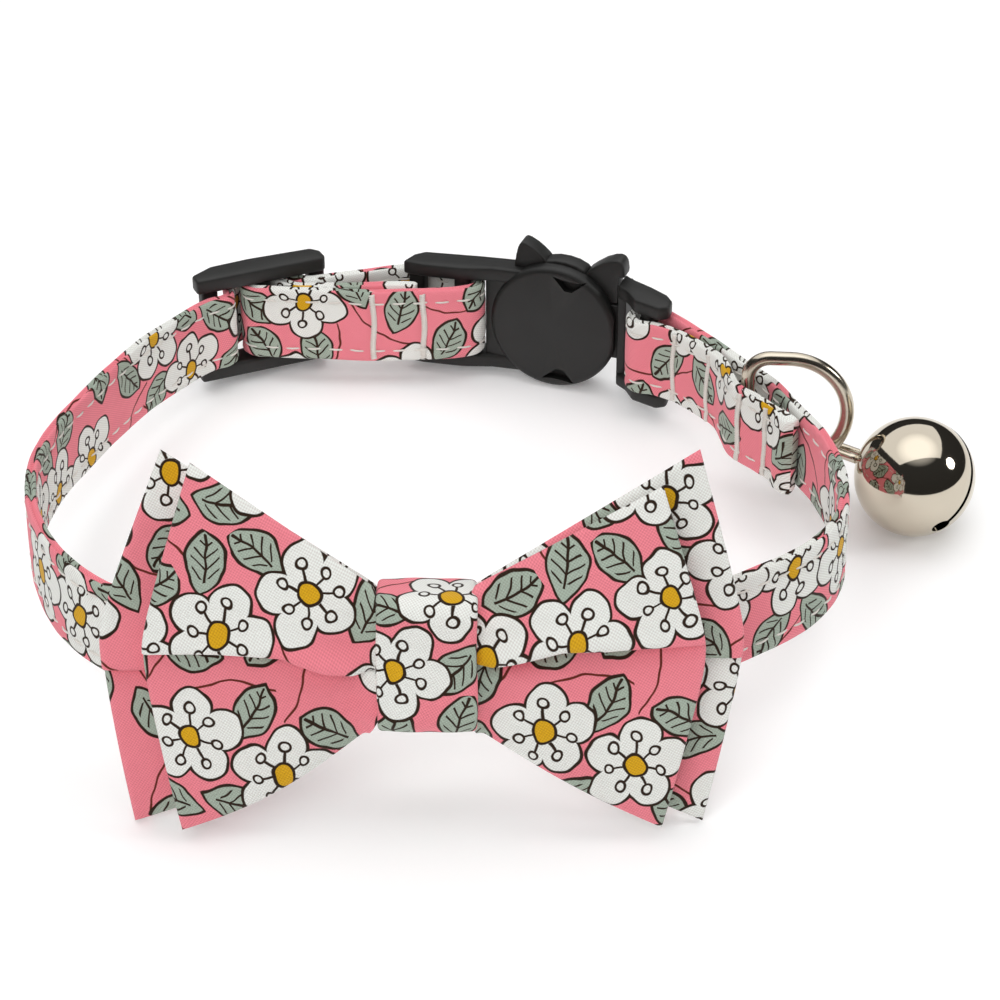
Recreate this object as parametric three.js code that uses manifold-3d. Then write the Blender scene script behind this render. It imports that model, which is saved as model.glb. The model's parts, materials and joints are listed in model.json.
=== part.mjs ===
// Pet bow tie collar: a printed cloth strap with a sliding adjuster, a breakaway buckle,
// a D-ring with a round bell, and a double bow held by a knot band.
// Units are millimetres, +Z is up. The collar is laid out in a loop frame first: X to the
// right, Y from the bow to the buckle, Z along the strap's width with 0 at its middle.
// The loop is then tipped back so that the bow's lower corners, the buckle's disc and the
// bell all touch one level surface.
import * as THREE from 'three';
import { mergeVertices } from 'three/addons/utils/BufferGeometryUtils.js';
import Module from 'manifold-3d';

const wasm = await Module();
wasm.setup();

// Driving dimensions
const STRAP = { width: 10.6, thickness: 1.5, lean: 12, front: -42.6, stations: 210 };
const GAP = 0.3;
const TILT = 4.94;
// Half the room between a fitting's rails, and the height of the bars that join them
const INSIDE = STRAP.width / 2 + GAP;
const BAR_HEIGHT = 2 * INSIDE + 1.0;

const ADJUSTER = {
  x: -24.2, y: 41.2, yaw: 25, length: 17.8, railDepth: 3.6, railHeight: 2.1,
  barWidth: 2.3, barDepth: 1.8, pitch: 7.7,
};
const BAR = { radius: 1.15, sides: 14 };
const BUCKLE = {
  x: 15.2, y: 37.0, yaw: -19, discRadius: 8.9, discDepth: 5.2, discBevel: 0.7, railHeight: 2.0,
  pocket: { width: 8.6, depth: 2.4, reach: 7.0, offset: 2.6 }, clearance: 0.35, trimHeight: 8.2,
  socketBar: [-12.8, 0.15], endBar: [-19.2, 0.15], plugBar: [14.2, -1.9],
};
const RING = { x: 39.6, y: 12.4, z: 1.0, yaw: -4, wire: 1.8, half: 7.6, arm: 5.1, corner: 2.6 };
const BELL = {
  x: 60.4, y: 6.0, radius: 7.6, wall: 0.7, slit: 0.9, holeRadius: 1.15, slitReach: 62,
  hookAngle: -40, loopWire: 1.2, loopWidth: 4.1, ball: 1.9,
};
const BOW = {
  lean: 12, rise: 4.0, knotRise: 3.2, halfHeight: 21.6, coreHalf: 5.7, coreEnd: 6.2,
  peak: 0.14,
  wall: 1.3, backBase: 3.2, columns: 34, rows: 12,
};
const KNOT = { width: 11.0, height: 15.8, wall: 1.2, back: 2.5, front: 11.05, corner: 1.5 };
const ELASTIC = { width: 10.2, wall: 1.0, corner: 0.8, clearance: 0.45 };

const COLOURS = {
  cloth: 0xee7f92, knot: 0xe97488, elastic: 0xf3f1ee, plastic: 0x2b2b2a, nickel: 0xc9c3b8,
};
const cloth = { color: COLOURS.cloth, roughness: 0.85, metalness: 0.0 };
const plastic = { color: COLOURS.plastic, roughness: 0.5, metalness: 0.0 };
const nickel = { color: COLOURS.nickel, roughness: 0.15, metalness: 1.0 };

const radians = THREE.MathUtils.degToRad;
const loop = new THREE.Group();

function addPart(name, geometry, finish) {
  const mesh = new THREE.Mesh(geometry, new THREE.MeshStandardMaterial(finish));
  mesh.name = name;
  loop.add(mesh);
  return mesh;
}

// Stands a piece in the loop at its plan position, turned by its yaw
function place(mesh, piece) {
  mesh.position.set(piece.x, piece.y, piece.z ?? 0);
  mesh.rotation.z = radians(piece.yaw);
}

// A point in plan beside a piece: s runs along the piece and t points away from the neck
function planFrame(piece) {
  const yaw = radians(piece.yaw);
  return (s, t) => [
    piece.x + s * Math.cos(yaw) - t * Math.sin(yaw),
    piece.y + s * Math.sin(yaw) + t * Math.cos(yaw),
  ];
}
const adj = planFrame(ADJUSTER);

// Closed solids from rings of points, open ended with flat caps or joined end to start
function loft(rings, closed) {
  const count = rings[0].length;
  const positions = rings.flat().flatMap((p) => [p.x, p.y, p.z]);
  const index = [];
  const spans = closed ? rings.length : rings.length - 1;
  for (let i = 0; i < spans; i += 1) {
    const next = (i + 1) % rings.length;
    for (let k = 0; k < count; k += 1) {
      const a = i * count + k;
      const b = i * count + (k + 1) % count;
      const c = next * count + k;
      const d = next * count + (k + 1) % count;
      index.push(a, b, d, a, d, c);
    }
  }
  if (!closed) {
    const last = (rings.length - 1) * count;
    for (let k = 1; k < count - 1; k += 1) {
      index.push(0, k + 1, k);
      index.push(last, last + k, last + k + 1);
    }
  }
  return facingOut(positions, index);
}

// Turns the faces over where the enclosed volume comes out negative
function facingOut(positions, index) {
  let volume = 0;
  const p = [new THREE.Vector3(), new THREE.Vector3(), new THREE.Vector3()];
  for (let i = 0; i < index.length; i += 3) {
    p.forEach((v, k) => v.fromArray(positions, 3 * index[i + k]));
    volume += p[0].dot(p[1].clone().cross(p[2]));
  }
  if (volume < 0) {
    for (let i = 0; i < index.length; i += 3) {
      [index[i + 1], index[i + 2]] = [index[i + 2], index[i + 1]];
    }
  }
  const geometry = new THREE.BufferGeometry();
  geometry.setAttribute('position', new THREE.Float32BufferAttribute(positions, 3));
  geometry.setIndex(index);
  geometry.computeVertexNormals();
  return geometry;
}

// Booleans: three.js meshes in, one three.js mesh out
function solid(geometry) {
  const plain = geometry.clone();
  plain.deleteAttribute('normal');
  plain.deleteAttribute('uv');
  const merged = mergeVertices(plain, 1e-4);
  return new wasm.Manifold(new wasm.Mesh({
    numProp: 3,
    vertProperties: new Float32Array(merged.attributes.position.array),
    triVerts: new Uint32Array(merged.index.array),
  }));
}

function fromSolid(body) {
  const mesh = body.getMesh();
  const geometry = new THREE.BufferGeometry();
  geometry.setAttribute('position', new THREE.Float32BufferAttribute(mesh.vertProperties, 3));
  geometry.setIndex(Array.from(mesh.triVerts));
  geometry.computeVertexNormals();
  return geometry;
}

function joined(geometries) {
  return geometries.map(solid).reduce((whole, next) => whole.add(next));
}

function boxAt(size, centre) {
  return new THREE.BoxGeometry(...size).translate(...centre);
}

function polygon(points) {
  return new THREE.Shape(points.map(([x, y]) => new THREE.Vector2(x, y)));
}

// A plan outline made solid between two heights
function slab(points, low, high) {
  const settings = { depth: high - low, bevelEnabled: false, curveSegments: 10 };
  return new THREE.ExtrudeGeometry(polygon(points), settings).translate(0, 0, low);
}

// An outline drawn in the length and height of a piece, made solid through its depth
function plate(points, near, far) {
  const settings = { depth: far - near, bevelEnabled: false, curveSegments: 10 };
  const geometry = new THREE.ExtrudeGeometry(polygon(points), settings);
  return geometry.rotateX(Math.PI / 2).translate(0, far, 0);
}

// The two rails of a fitting, above and below the strap
function railPair(outline, thickness) {
  return [
    slab(outline, INSIDE, INSIDE + thickness),
    slab(outline, -INSIDE - thickness, -INSIDE),
  ];
}

// A round bar that stands between a fitting's rails
function roundBar(x, y) {
  const bar = new THREE.CylinderGeometry(BAR.radius, BAR.radius, BAR_HEIGHT, BAR.sides);
  return bar.rotateX(Math.PI / 2).translate(x, y, 0);
}

// Strap: one ribbon from its end sewn in the adjuster's fold to its end sewn at the D-ring
const strapRoute = [
  [-3.0, 40.0], [-8.0, 40.0], [-13.0, 40.0],
  adj(6.5, -4.4), adj(4.0, -3.1), adj(2.9, -1.2), adj(2.4, 0.4), adj(1.6, 1.7), adj(0, 2.35),
  adj(-1.65, 1.65), adj(-2.35, 0), adj(-1.6, -1.7), adj(-0.2, -2.4),
  [-20.5, 38.6], [-16.0, 38.25], [-8.0, 38.1], [-1.0, 38.35], [3.1, 39.0],
  [4.8, 39.7], [5.5, 41.3], [4.8, 42.9], [3.1, 43.65],
  [1.2, 44.4], [-0.6, 45.4], [-3.2, 45.75], [-6.4, 45.35], [-9.8, 44.5], [-13.0, 43.6],
  adj(7.9, -2.4), adj(6.3, -2.25), adj(5.05, -1.2), adj(4.55, 0.4), adj(3.9, 2.2),
  adj(2.4, 3.6), adj(0, 4.25), adj(-2.6, 3.5), adj(-4.3, 1.6), adj(-5.15, -1.5),
  adj(-6.4, -2.4), adj(-8.2, -2.6),
  [-33.9, 31.0], [-39.2, 21.6], [-43.2, 12.0], [-46.0, 3.5], [-47.6, -4.5], [-47.6, -11.5],
  [-46.2, -18.8], [-43.2, -26.3], [-39.0, -32.8], [-33.6, -37.2], [-25.0, -40.6],
  [-13.0, -42.3], [0.0, -42.6], [13.0, -41.8], [25.0, -38.8], [35.2, -33.8], [41.4, -29.3],
  [45.4, -24.8], [47.8, -19.8], [48.8, -14.0], [48.8, -7.0], [47.5, -0.5], [44.9, 6.8],
  [42.45, 13.2], [38.4, 19.6], [34.9, 25.2], [31.9, 29.5], [29.6, 32.2],
  [27.9, 32.95], [26.3, 32.4], [25.6, 30.9], [26.3, 29.1],
  [28.6, 28.2], [31.2, 26.5], [33.3, 24.1], [35.1, 21.3], [36.7, 18.3], [37.3, 15.0],
  [37.6, 11.6], [40.2, 7.2], [43.0, 2.2], [43.7, 0.6],
];

// The strap's top leans in towards the neck where the bow holds it, and stands straight elsewhere
function strapLean(y) {
  const front = THREE.MathUtils.smoothstep(-y, 8, 36);
  return radians(STRAP.lean) * front;
}

function strapGeometry() {
  const points = strapRoute.map(([x, y]) => new THREE.Vector3(x, y, 0));
  const curve = new THREE.CatmullRomCurve3(points, false, 'centripetal');
  curve.arcLengthDivisions = 1500;
  const up = new THREE.Vector3(0, 0, 1);
  const rings = [];
  for (let i = 0; i <= STRAP.stations; i += 1) {
    const at = i / STRAP.stations;
    const p = curve.getPointAt(at);
    const across = curve.getTangentAt(at).cross(up).normalize();
    const lean = strapLean(p.y);
    const rise = new THREE.Vector3(0, Math.sin(lean), Math.cos(lean));
    const corner = (side, end) => p.clone()
      .addScaledVector(across, side * STRAP.thickness / 2)
      .addScaledVector(rise, end * STRAP.width / 2);
    rings.push([corner(-1, -1), corner(1, -1), corner(1, 1), corner(-1, 1)]);
  }
  return loft(rings, false);
}
addPart('collar_strap', strapGeometry(), cloth);

// Adjuster: two deep rails above and below the strap, joined by three bars
function adjusterGeometry() {
  const { length, railDepth, railHeight, barWidth, barDepth, pitch } = ADJUSTER;
  const end = length / 2;
  const side = railDepth / 2;
  const outline = [
    [-end, -side], [end - 0.5, -side], [end, -side + 0.6], [end, side - 1.2],
    [end - 1.0, side], [-end + 2.8, side], [-end + 0.9, side - 1.6],
  ];
  const bars = [-pitch, pitch].map((s) => boxAt([barWidth, barDepth, BAR_HEIGHT], [s, 0, 0]));
  return fromSolid(joined([...railPair(outline, railHeight), ...bars, roundBar(0, 0)]));
}
place(addPart('adjuster', adjusterGeometry(), plastic), ADJUSTER);

// Buckle: a round flat-backed disc with two ears, in two halves that pull apart under load
const EAR = {
  lean: 8, near: 1.6, far: 4.6,
  outline: [[-7.6, 4.4], [-7.75, 8.5], [-7.5, 10.0], [-6.9, 10.85], [-6.3, 10.95], [-5.3, 10.4],
    [-4.0, 9.3], [-2.8, 8.0]],
};
const BROW = { near: 1.8, far: 4.4, outline: [[-2.2, 7.0], [-1.9, 9.0], [0, 9.7], [1.9, 9.0], [2.2, 7.0]] };
const NOTCH = { lean: 5, axis: 1.7, half: 2.4, depth: 1.9, cut: 1.1, inset: 1.0, roof: 0.6 };

// Points drawn upright on the disc's face, leaned to the right about its middle
function leaned(points, degrees) {
  const turn = radians(degrees);
  return points.map(([u, v]) => [
    u * Math.cos(turn) + v * Math.sin(turn),
    v * Math.cos(turn) - u * Math.sin(turn),
  ]);
}

function discGeometry() {
  const { discRadius, discDepth, discBevel: bevel } = BUCKLE;
  const profile = [
    [0, 0], [discRadius - bevel, 0], [discRadius - 0.2, 0.25], [discRadius, bevel],
    [discRadius, discDepth - bevel], [discRadius - bevel, discDepth], [0, discDepth],
  ].map(([x, y]) => new THREE.Vector2(x, y));
  return new THREE.LatheGeometry(profile, 48);
}

function socketGeometry() {
  const { discRadius, discDepth, railHeight, pocket, clearance, socketBar, endBar } = BUCKLE;
  const railOutline = [
    [-20.9, -1.4], [-20.2, 1.1], [-19.0, 2.4], [-11.0, 3.6], [-4.0, 4.4], [-4.0, 0.6],
    [-8.6, 0.2], [-12.6, -1.0], [-18.0, -1.6],
  ];
  const web = boxAt([5.2, 2.6, BAR_HEIGHT], [-6.7, 2.3, 0]);
  const pieces = [discGeometry(), ...railPair(railOutline, railHeight), roundBar(...socketBar), web];
  pieces.push(boxAt([2.2, 2.0, BAR_HEIGHT], [...endBar, 0]));
  [-1, 1].forEach((side) => {
    const points = leaned(EAR.outline.map(([u, v]) => [-side * u, v]), EAR.lean);
    pieces.push(plate(side > 0 ? points : points.reverse(), EAR.near, EAR.far));
  });
  pieces.push(plate(leaned(BROW.outline, EAR.lean), BROW.near, BROW.far));
  let body = joined(pieces);
  [1, -1].forEach((side) => {
    const rim = Math.sqrt(discRadius ** 2 - NOTCH.axis ** 2);
    const mouth = rim - NOTCH.inset;
    const shape = [[-NOTCH.half, mouth], [0, mouth - NOTCH.depth], [NOTCH.half, mouth],
      [0, rim - NOTCH.roof]];
    const points = leaned(shape.map(([u, v]) => [NOTCH.axis + u, side * v]), NOTCH.lean);
    body = body.subtract(solid(plate(side > 0 ? points : points.reverse(), -1, NOTCH.cut)));
  });
  const mouth = boxAt(
    [pocket.reach + 4, pocket.depth, pocket.width],
    [discRadius + 2 - pocket.reach / 2, pocket.offset, 0],
  );
  const trim = boxAt([4, discDepth + 4, 2 * BUCKLE.trimHeight], [discRadius - clearance + 2, 2, 0]);
  return fromSolid(body.subtract(solid(mouth)).subtract(solid(trim)));
}
place(addPart('buckle_socket', socketGeometry(), plastic), BUCKLE);

function plugGeometry() {
  const { discRadius, railHeight, pocket, plugBar } = BUCKLE;
  const railOutline = [
    [discRadius, 4.6], [10.4, 3.4], [13.4, 1.9], [16.0, 0.3], [17.1, -1.2], [17.2, -3.0],
    [15.9, -3.9], [12.2, -2.6], [10.6, -0.4], [discRadius, 0.8],
  ];
  const pieces = [...railPair(railOutline, railHeight), roundBar(...plugBar)];
  pieces.push(boxAt([1.2, 3.6, BAR_HEIGHT + 2], [discRadius + 0.6, 2.7, 0]));
  const tongue = pocket.reach - 1.0;
  pieces.push(boxAt(
    [tongue + 1, pocket.depth - 2 * GAP, pocket.width - 2 * GAP],
    [discRadius + 0.5 - tongue / 2, pocket.offset, 0],
  ));
  return fromSolid(joined(pieces));
}
place(addPart('buckle_plug', plugGeometry(), plastic), BUCKLE);

// D-ring: its straight bar stands in the strap's fold and its round side points away from the neck
class RingCurve extends THREE.Curve {
  getPoint(at, target = new THREE.Vector3()) {
    const { half, arm, corner } = RING;
    const bar = half - corner;
    const straight = arm - corner;
    const quarter = Math.PI * corner / 2;
    const round = Math.PI * half;
    const lengths = [bar, quarter, straight, round, straight, quarter, bar];
    const total = lengths.reduce((sum, l) => sum + l, 0);
    let run = (((at % 1) + 1) % 1) * total;
    let k = 0;
    while (run > lengths[k] && k < lengths.length - 1) {
      run -= lengths[k];
      k += 1;
    }
    const turn = run / corner;
    const sweep = run / half;
    const places = [
      () => [0, run],
      () => [corner * (1 - Math.cos(turn)), bar + corner * Math.sin(turn)],
      () => [corner + run, half],
      () => [arm + half * Math.sin(sweep), half * Math.cos(sweep)],
      () => [arm - run, -half],
      () => [corner * (1 - Math.sin(turn)), -bar - corner * Math.cos(turn)],
      () => [0, run - bar],
    ];
    const [out, up] = places[k]();
    return target.set(out, 0, up);
  }
}

function wireLoop(curve, radius, steps, sides) {
  const frames = curve.computeFrenetFrames(steps, true);
  const rings = [];
  for (let i = 0; i < steps; i += 1) {
    const p = curve.getPointAt(i / steps);
    const ring = [];
    for (let k = 0; k < sides; k += 1) {
      const angle = 2 * Math.PI * k / sides;
      ring.push(p.clone()
        .addScaledVector(frames.normals[i], radius * Math.cos(angle))
        .addScaledVector(frames.binormals[i], radius * Math.sin(angle)));
    }
    rings.push(ring);
  }
  return loft(rings, true);
}
place(addPart('d_ring', wireLoop(new RingCurve(), RING.wire / 2, 56, 8), nickel), RING);

// Level surface under the collar, as a height over Y: through the bow's corners and the disc
const bowLean = radians(BOW.lean);
const bowDrop = BOW.halfHeight - BOW.rise;
const bowBack = BOW.backBase - BOW.wall / 2;
const contactFront = {
  y: STRAP.front - bowBack * Math.cos(bowLean) - bowDrop * Math.sin(bowLean),
  z: bowBack * Math.sin(bowLean) - bowDrop * Math.cos(bowLean),
};
const groundAt = (y) => contactFront.z + Math.tan(radians(TILT)) * (y - contactFront.y);

// Bell: a thin round shell with a slit between two round holes, and a wire loop on its back
function bellGeometry(loopReach) {
  const { radius, wall, slit, holeRadius, slitReach, loopWire, loopWidth } = BELL;
  const shell = solid(new THREE.SphereGeometry(radius, 36, 22));
  const hollow = solid(new THREE.SphereGeometry(radius - wall, 24, 16));
  const reach = radians(slitReach);
  const slitHalf = radius * Math.sin(reach);
  const cutTop = -radius * Math.cos(reach);
  const cut = solid(boxAt([slit, 2 * slitHalf, 8], [0, 0, cutTop - 4]));
  let body = shell;
  [-1, 1].forEach((side) => {
    const hole = new THREE.CylinderGeometry(holeRadius, holeRadius, 4, 16);
    hole.translate(0, radius, 0).rotateX(side * reach - Math.PI / 2);
    body = body.subtract(solid(hole));
  });
  body = body.subtract(hollow).subtract(cut);
  const foot = radius - wall / 2;
  const half = loopWidth / 2;
  const top = loopReach - half;
  const route = new THREE.CurvePath();
  const corner = (x, z) => new THREE.Vector3(x, 0, z);
  route.add(new THREE.LineCurve3(corner(-half, foot - 0.25), corner(-half, top)));
  const arc = [0, 1, 2, 3, 4, 5, 6].map((k) => {
    const angle = Math.PI * (1 - k / 6);
    return corner(half * Math.cos(angle), top + half * Math.sin(angle));
  });
  for (let k = 0; k < 6; k += 1) {
    route.add(new THREE.LineCurve3(arc[k], arc[k + 1]));
  }
  route.add(new THREE.LineCurve3(corner(half, top), corner(half, foot - 0.25)));
  const section = new THREE.Shape();
  section.absarc(0, 0, loopWire / 2, 0, 2 * Math.PI, false);
  const settings = { steps: 28, extrudePath: route, curveSegments: 4, bevelEnabled: false };
  return fromSolid(body.add(solid(new THREE.ExtrudeGeometry(section, settings))));
}

// The bell hooks on the lower bend of the ring and lies on the surface beside it
const hook = (() => {
  const angle = radians(BELL.hookAngle);
  const out = RING.arm + RING.half * Math.cos(angle);
  const yaw = radians(RING.yaw);
  return {
    at: new THREE.Vector3(
      RING.x + out * Math.cos(yaw),
      RING.y + out * Math.sin(yaw),
      RING.z + RING.half * Math.sin(angle),
    ),
    along: new THREE.Vector3(
      -Math.sin(angle) * Math.cos(yaw),
      -Math.sin(angle) * Math.sin(yaw),
      Math.cos(angle),
    ),
  };
})();
const bellCentre = new THREE.Vector3(
  BELL.x,
  BELL.y,
  groundAt(BELL.y) + BELL.radius / Math.cos(radians(TILT)),
);
const towardsRing = hook.at.clone().sub(bellCentre);
const bellReach = towardsRing.length() + RING.wire / 2 + GAP + BELL.loopWire / 2;
towardsRing.normalize();
const bellSide = hook.along.clone().addScaledVector(towardsRing, -hook.along.dot(towardsRing));
bellSide.normalize();
const bell = addPart('bell', bellGeometry(bellReach), nickel);
bell.matrixAutoUpdate = false;
bell.matrix.makeBasis(bellSide.clone().cross(towardsRing), bellSide, towardsRing);
bell.matrix.setPosition(bellCentre);

// The ball inside lies on the bell's floor
const ballDrop = BELL.radius - BELL.wall - BELL.ball - GAP;
const ball = addPart('bell_ball', new THREE.SphereGeometry(BELL.ball, 12, 8), nickel);
ball.position.copy(bellCentre);
ball.position.z -= ballDrop * Math.cos(radians(TILT));
ball.position.y += ballDrop * Math.sin(radians(TILT));

// Bow group: x across, y up the bow's face, z out of it; its back lies on the strap
const bow = new THREE.Group();
bow.position.set(0, STRAP.front, 0);
bow.rotation.x = Math.PI / 2 - bowLean;
loop.add(bow);

function addToBow(name, geometry, finish) {
  const mesh = new THREE.Mesh(geometry, new THREE.MeshStandardMaterial(finish));
  mesh.name = name;
  bow.add(mesh);
}

// One bow layer: a folded cloth gathered under the knot and opening to two wings.
// corner and middle are the half widths at the wing's corners and half-way up its edge.
const LAYERS = {
  bow_back: { top: 28.8, bottom: 31.0, middle: 34.2, core: 5.25, coreDepth: 2.3, base: BOW.backBase,
    puff: 1.3, crease: 0.9 },
  bow_front: { top: 25.0, bottom: 26.6, middle: 30.0, core: 8.15, coreDepth: 2.7, base: 6.3,
    puff: 2.4, crease: 2.0 },
};

function layerPoint(layer, across, up) {
  const side = Math.abs(across);
  const edge = up > 0 ? layer.top : layer.bottom;
  const slant = (Math.hypot(up, BOW.peak) - BOW.peak) / (Math.hypot(1, BOW.peak) - BOW.peak);
  const half = layer.middle - (layer.middle - edge) * slant;
  const x = Math.sign(across) * side * half;
  const reach = side * half;
  const open = THREE.MathUtils.smoothstep(reach, BOW.coreEnd - 1.2, BOW.coreEnd + 1.6);
  const spread = THREE.MathUtils.clamp((reach - BOW.coreEnd - 1) / (edge - BOW.coreEnd - 1), 0, 1);
  const gathered = BOW.coreHalf + 1.9 * open;
  const height = gathered + (BOW.halfHeight - gathered) * spread;
  const centre = BOW.knotRise + (BOW.rise - BOW.knotRise) * spread;
  const fade = open * (1 - 0.65 * spread);
  const dome = (1 - up ** 4) * layer.puff * fade;
  const fold = Math.exp(-((up / 0.22) ** 2)) * layer.crease * fade;
  const flat = layer.base + (layer.core - layer.base) * (1 - open);
  return new THREE.Vector3(x, centre + up * height, flat + dome - fold);
}

function layerWall(layer, across) {
  const half = layer.middle;
  const reach = Math.abs(across) * half;
  const open = THREE.MathUtils.smoothstep(reach, BOW.coreEnd - 1.2, BOW.coreEnd + 1.6);
  return layer.coreDepth + (BOW.wall - layer.coreDepth) * open;
}

function layerGeometry(layer) {
  const rings = [];
  for (let i = 0; i <= BOW.columns; i += 1) {
    const across = -1 + 2 * i / BOW.columns;
    const back = [];
    const front = [];
    for (let j = 0; j <= BOW.rows; j += 1) {
      const up = -1 + 2 * j / BOW.rows;
      const middle = layerPoint(layer, across, up);
      const half = layerWall(layer, across) / 2;
      front.push(middle.clone().add(new THREE.Vector3(0, 0, half)));
      back.unshift(middle.clone().add(new THREE.Vector3(0, 0, -half)));
    }
    rings.push([...front, ...back]);
  }
  return loftSheet(rings, BOW.rows + 1);
}

// A loft whose end caps are strips between the two faces of the sheet
function loftSheet(rings, rows) {
  const count = rings[0].length;
  const positions = rings.flat().flatMap((p) => [p.x, p.y, p.z]);
  const index = [];
  for (let i = 0; i < rings.length - 1; i += 1) {
    for (let k = 0; k < count; k += 1) {
      const a = i * count + k;
      const b = i * count + (k + 1) % count;
      index.push(a, b, b + count, a, b + count, a + count);
    }
  }
  const last = (rings.length - 1) * count;
  for (let j = 0; j < rows - 1; j += 1) {
    const [a, b, c, d] = [j, j + 1, count - 2 - j, count - 1 - j];
    index.push(a, c, b, a, d, c);
    index.push(last + a, last + b, last + c, last + a, last + c, last + d);
  }
  return facingOut(positions, index);
}
Object.entries(LAYERS).forEach(([name, layer]) => addToBow(name, layerGeometry(layer), cloth));

// A band that runs round in the bow's up-and-out plane, with rounded corners
function bandGeometry({ width, wall, corner }, low, high, back, front) {
  const outline = new THREE.Shape();
  outline.moveTo(back + corner, low);
  outline.lineTo(front - corner, low);
  outline.quadraticCurveTo(front, low, front, low + corner);
  outline.lineTo(front, high - corner);
  outline.quadraticCurveTo(front, high, front - corner, high);
  outline.lineTo(back + corner, high);
  outline.quadraticCurveTo(back, high, back, high - corner);
  outline.lineTo(back, low + corner);
  outline.quadraticCurveTo(back, low, back + corner, low);
  const hole = outline.getPoints(5).map((p) => new THREE.Vector2(
    (back + front) / 2 + (p.x - (back + front) / 2) * (1 - 2 * wall / (front - back)),
    (low + high) / 2 + (p.y - (low + high) / 2) * (1 - 2 * wall / (high - low)),
  ));
  outline.holes.push(new THREE.Path(hole));
  const settings = { depth: width, bevelEnabled: false, curveSegments: 5 };
  const geometry = new THREE.ExtrudeGeometry(outline, settings);
  return geometry.translate(0, 0, -width / 2).rotateY(-Math.PI / 2);
}

const knotLow = BOW.knotRise - KNOT.height / 2;
const knotHigh = BOW.knotRise + KNOT.height / 2;
addToBow('bow_knot', bandGeometry(KNOT, knotLow, knotHigh, KNOT.back, KNOT.front),
  { ...cloth, color: COLOURS.knot });

// The elastic loop behind the knot, which holds the bow on the strap
const elasticHalf = STRAP.width / 2 + GAP + ELASTIC.wall;
const elasticDepth = STRAP.thickness / 2 + ELASTIC.clearance + ELASTIC.wall;
addToBow('bow_elastic',
  bandGeometry(ELASTIC, -elasticHalf, elasticHalf, -elasticDepth, elasticDepth),
  { color: COLOURS.elastic, roughness: 0.8, metalness: 0.0 });

// Tip the loop onto its resting surface and stand the whole on the origin
loop.rotation.x = -radians(TILT);
const collar = new THREE.Group();
collar.add(loop);
collar.updateMatrixWorld(true);
const bounds = new THREE.Box3().setFromObject(collar, true);
const middle = bounds.getCenter(new THREE.Vector3());
loop.position.set(-middle.x, -middle.y, -bounds.min.z);

export default collar;
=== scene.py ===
"""Looks of the pet bow tie collar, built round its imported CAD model.

Shapes are worked out in millimetres in the collar's own loop frame: X to the right, Y from the bow to the
buckle, Z along the strap's width with 0 at its middle. The loop is tipped back a little so that the bow's
corners, the buckle and the bell all touch the surface. LoopFrame takes points from there to the row frame.
"""

import json
import logging
import math
from dataclasses import dataclass, field
from enum import Enum
from functools import partial
from typing import Iterable, Sequence

import bmesh
import bpy
import numpy as np
from mathutils import Matrix, Vector

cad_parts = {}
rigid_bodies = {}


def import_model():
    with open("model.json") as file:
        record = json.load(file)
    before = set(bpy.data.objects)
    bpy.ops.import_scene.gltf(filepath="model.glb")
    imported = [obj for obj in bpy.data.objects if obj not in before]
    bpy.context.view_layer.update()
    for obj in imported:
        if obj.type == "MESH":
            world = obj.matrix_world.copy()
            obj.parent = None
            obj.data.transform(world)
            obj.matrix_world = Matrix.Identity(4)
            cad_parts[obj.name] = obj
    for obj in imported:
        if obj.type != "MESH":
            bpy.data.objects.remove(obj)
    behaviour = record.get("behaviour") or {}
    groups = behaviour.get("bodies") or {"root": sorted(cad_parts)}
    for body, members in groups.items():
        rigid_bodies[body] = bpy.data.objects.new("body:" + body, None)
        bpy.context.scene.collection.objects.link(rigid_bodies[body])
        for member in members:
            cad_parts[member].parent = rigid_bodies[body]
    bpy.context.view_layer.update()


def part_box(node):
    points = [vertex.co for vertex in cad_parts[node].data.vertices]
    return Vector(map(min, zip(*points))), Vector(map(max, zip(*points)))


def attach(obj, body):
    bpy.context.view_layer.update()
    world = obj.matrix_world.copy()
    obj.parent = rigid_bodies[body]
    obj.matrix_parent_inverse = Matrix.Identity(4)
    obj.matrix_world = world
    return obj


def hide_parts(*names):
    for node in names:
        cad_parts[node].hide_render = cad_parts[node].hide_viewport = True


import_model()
BODY = "root"
MM = 0.001
EAST, UP = np.array([1.0, 0.0, 0.0]), np.array([0.0, 0.0, 1.0])
LOG = logging.getLogger("collar")

Colour = tuple[float, float, float, float]
Plan = tuple[float, float]
Socket = bpy.types.NodeSocket


def srgb(red: int, green: int, blue: int) -> Colour:
    """Turns a screen colour into the linear colour that shaders use.

    Args:
        red: Red from 0 to 255.
        green: Green from 0 to 255.
        blue: Blue from 0 to 255.

    Returns:
        The linear colour with full alpha.
    """
    parts = [c / 255 for c in (red, green, blue)]
    linear = [c / 12.92 if c <= 0.04045 else ((c + 0.055) / 1.055) ** 2.4 for c in parts]
    return (*linear, 1.0)


def smooth(value: np.ndarray | float, low: float, high: float) -> np.ndarray | float:
    """Rises smoothly from 0 at low to 1 at high."""
    t = np.clip((value - low) / (high - low), 0, 1)
    return t * t * (3 - 2 * t)


def unit(rows: np.ndarray) -> np.ndarray:
    """Makes each row one long."""
    return rows / np.linalg.norm(rows, axis=1)[:, None]


def run_along(points: np.ndarray) -> np.ndarray:
    """How far along a line each of its points lies, from 0."""
    return np.concatenate([[0], np.cumsum(np.linalg.norm(np.diff(points, axis=0), axis=1))])


class Slot(Enum):
    """The record's material slots."""

    CLOTH = "floral_cloth"
    ELASTIC = "white_elastic"
    PLASTIC = "black_plastic"
    NICKEL = "nickel"


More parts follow.
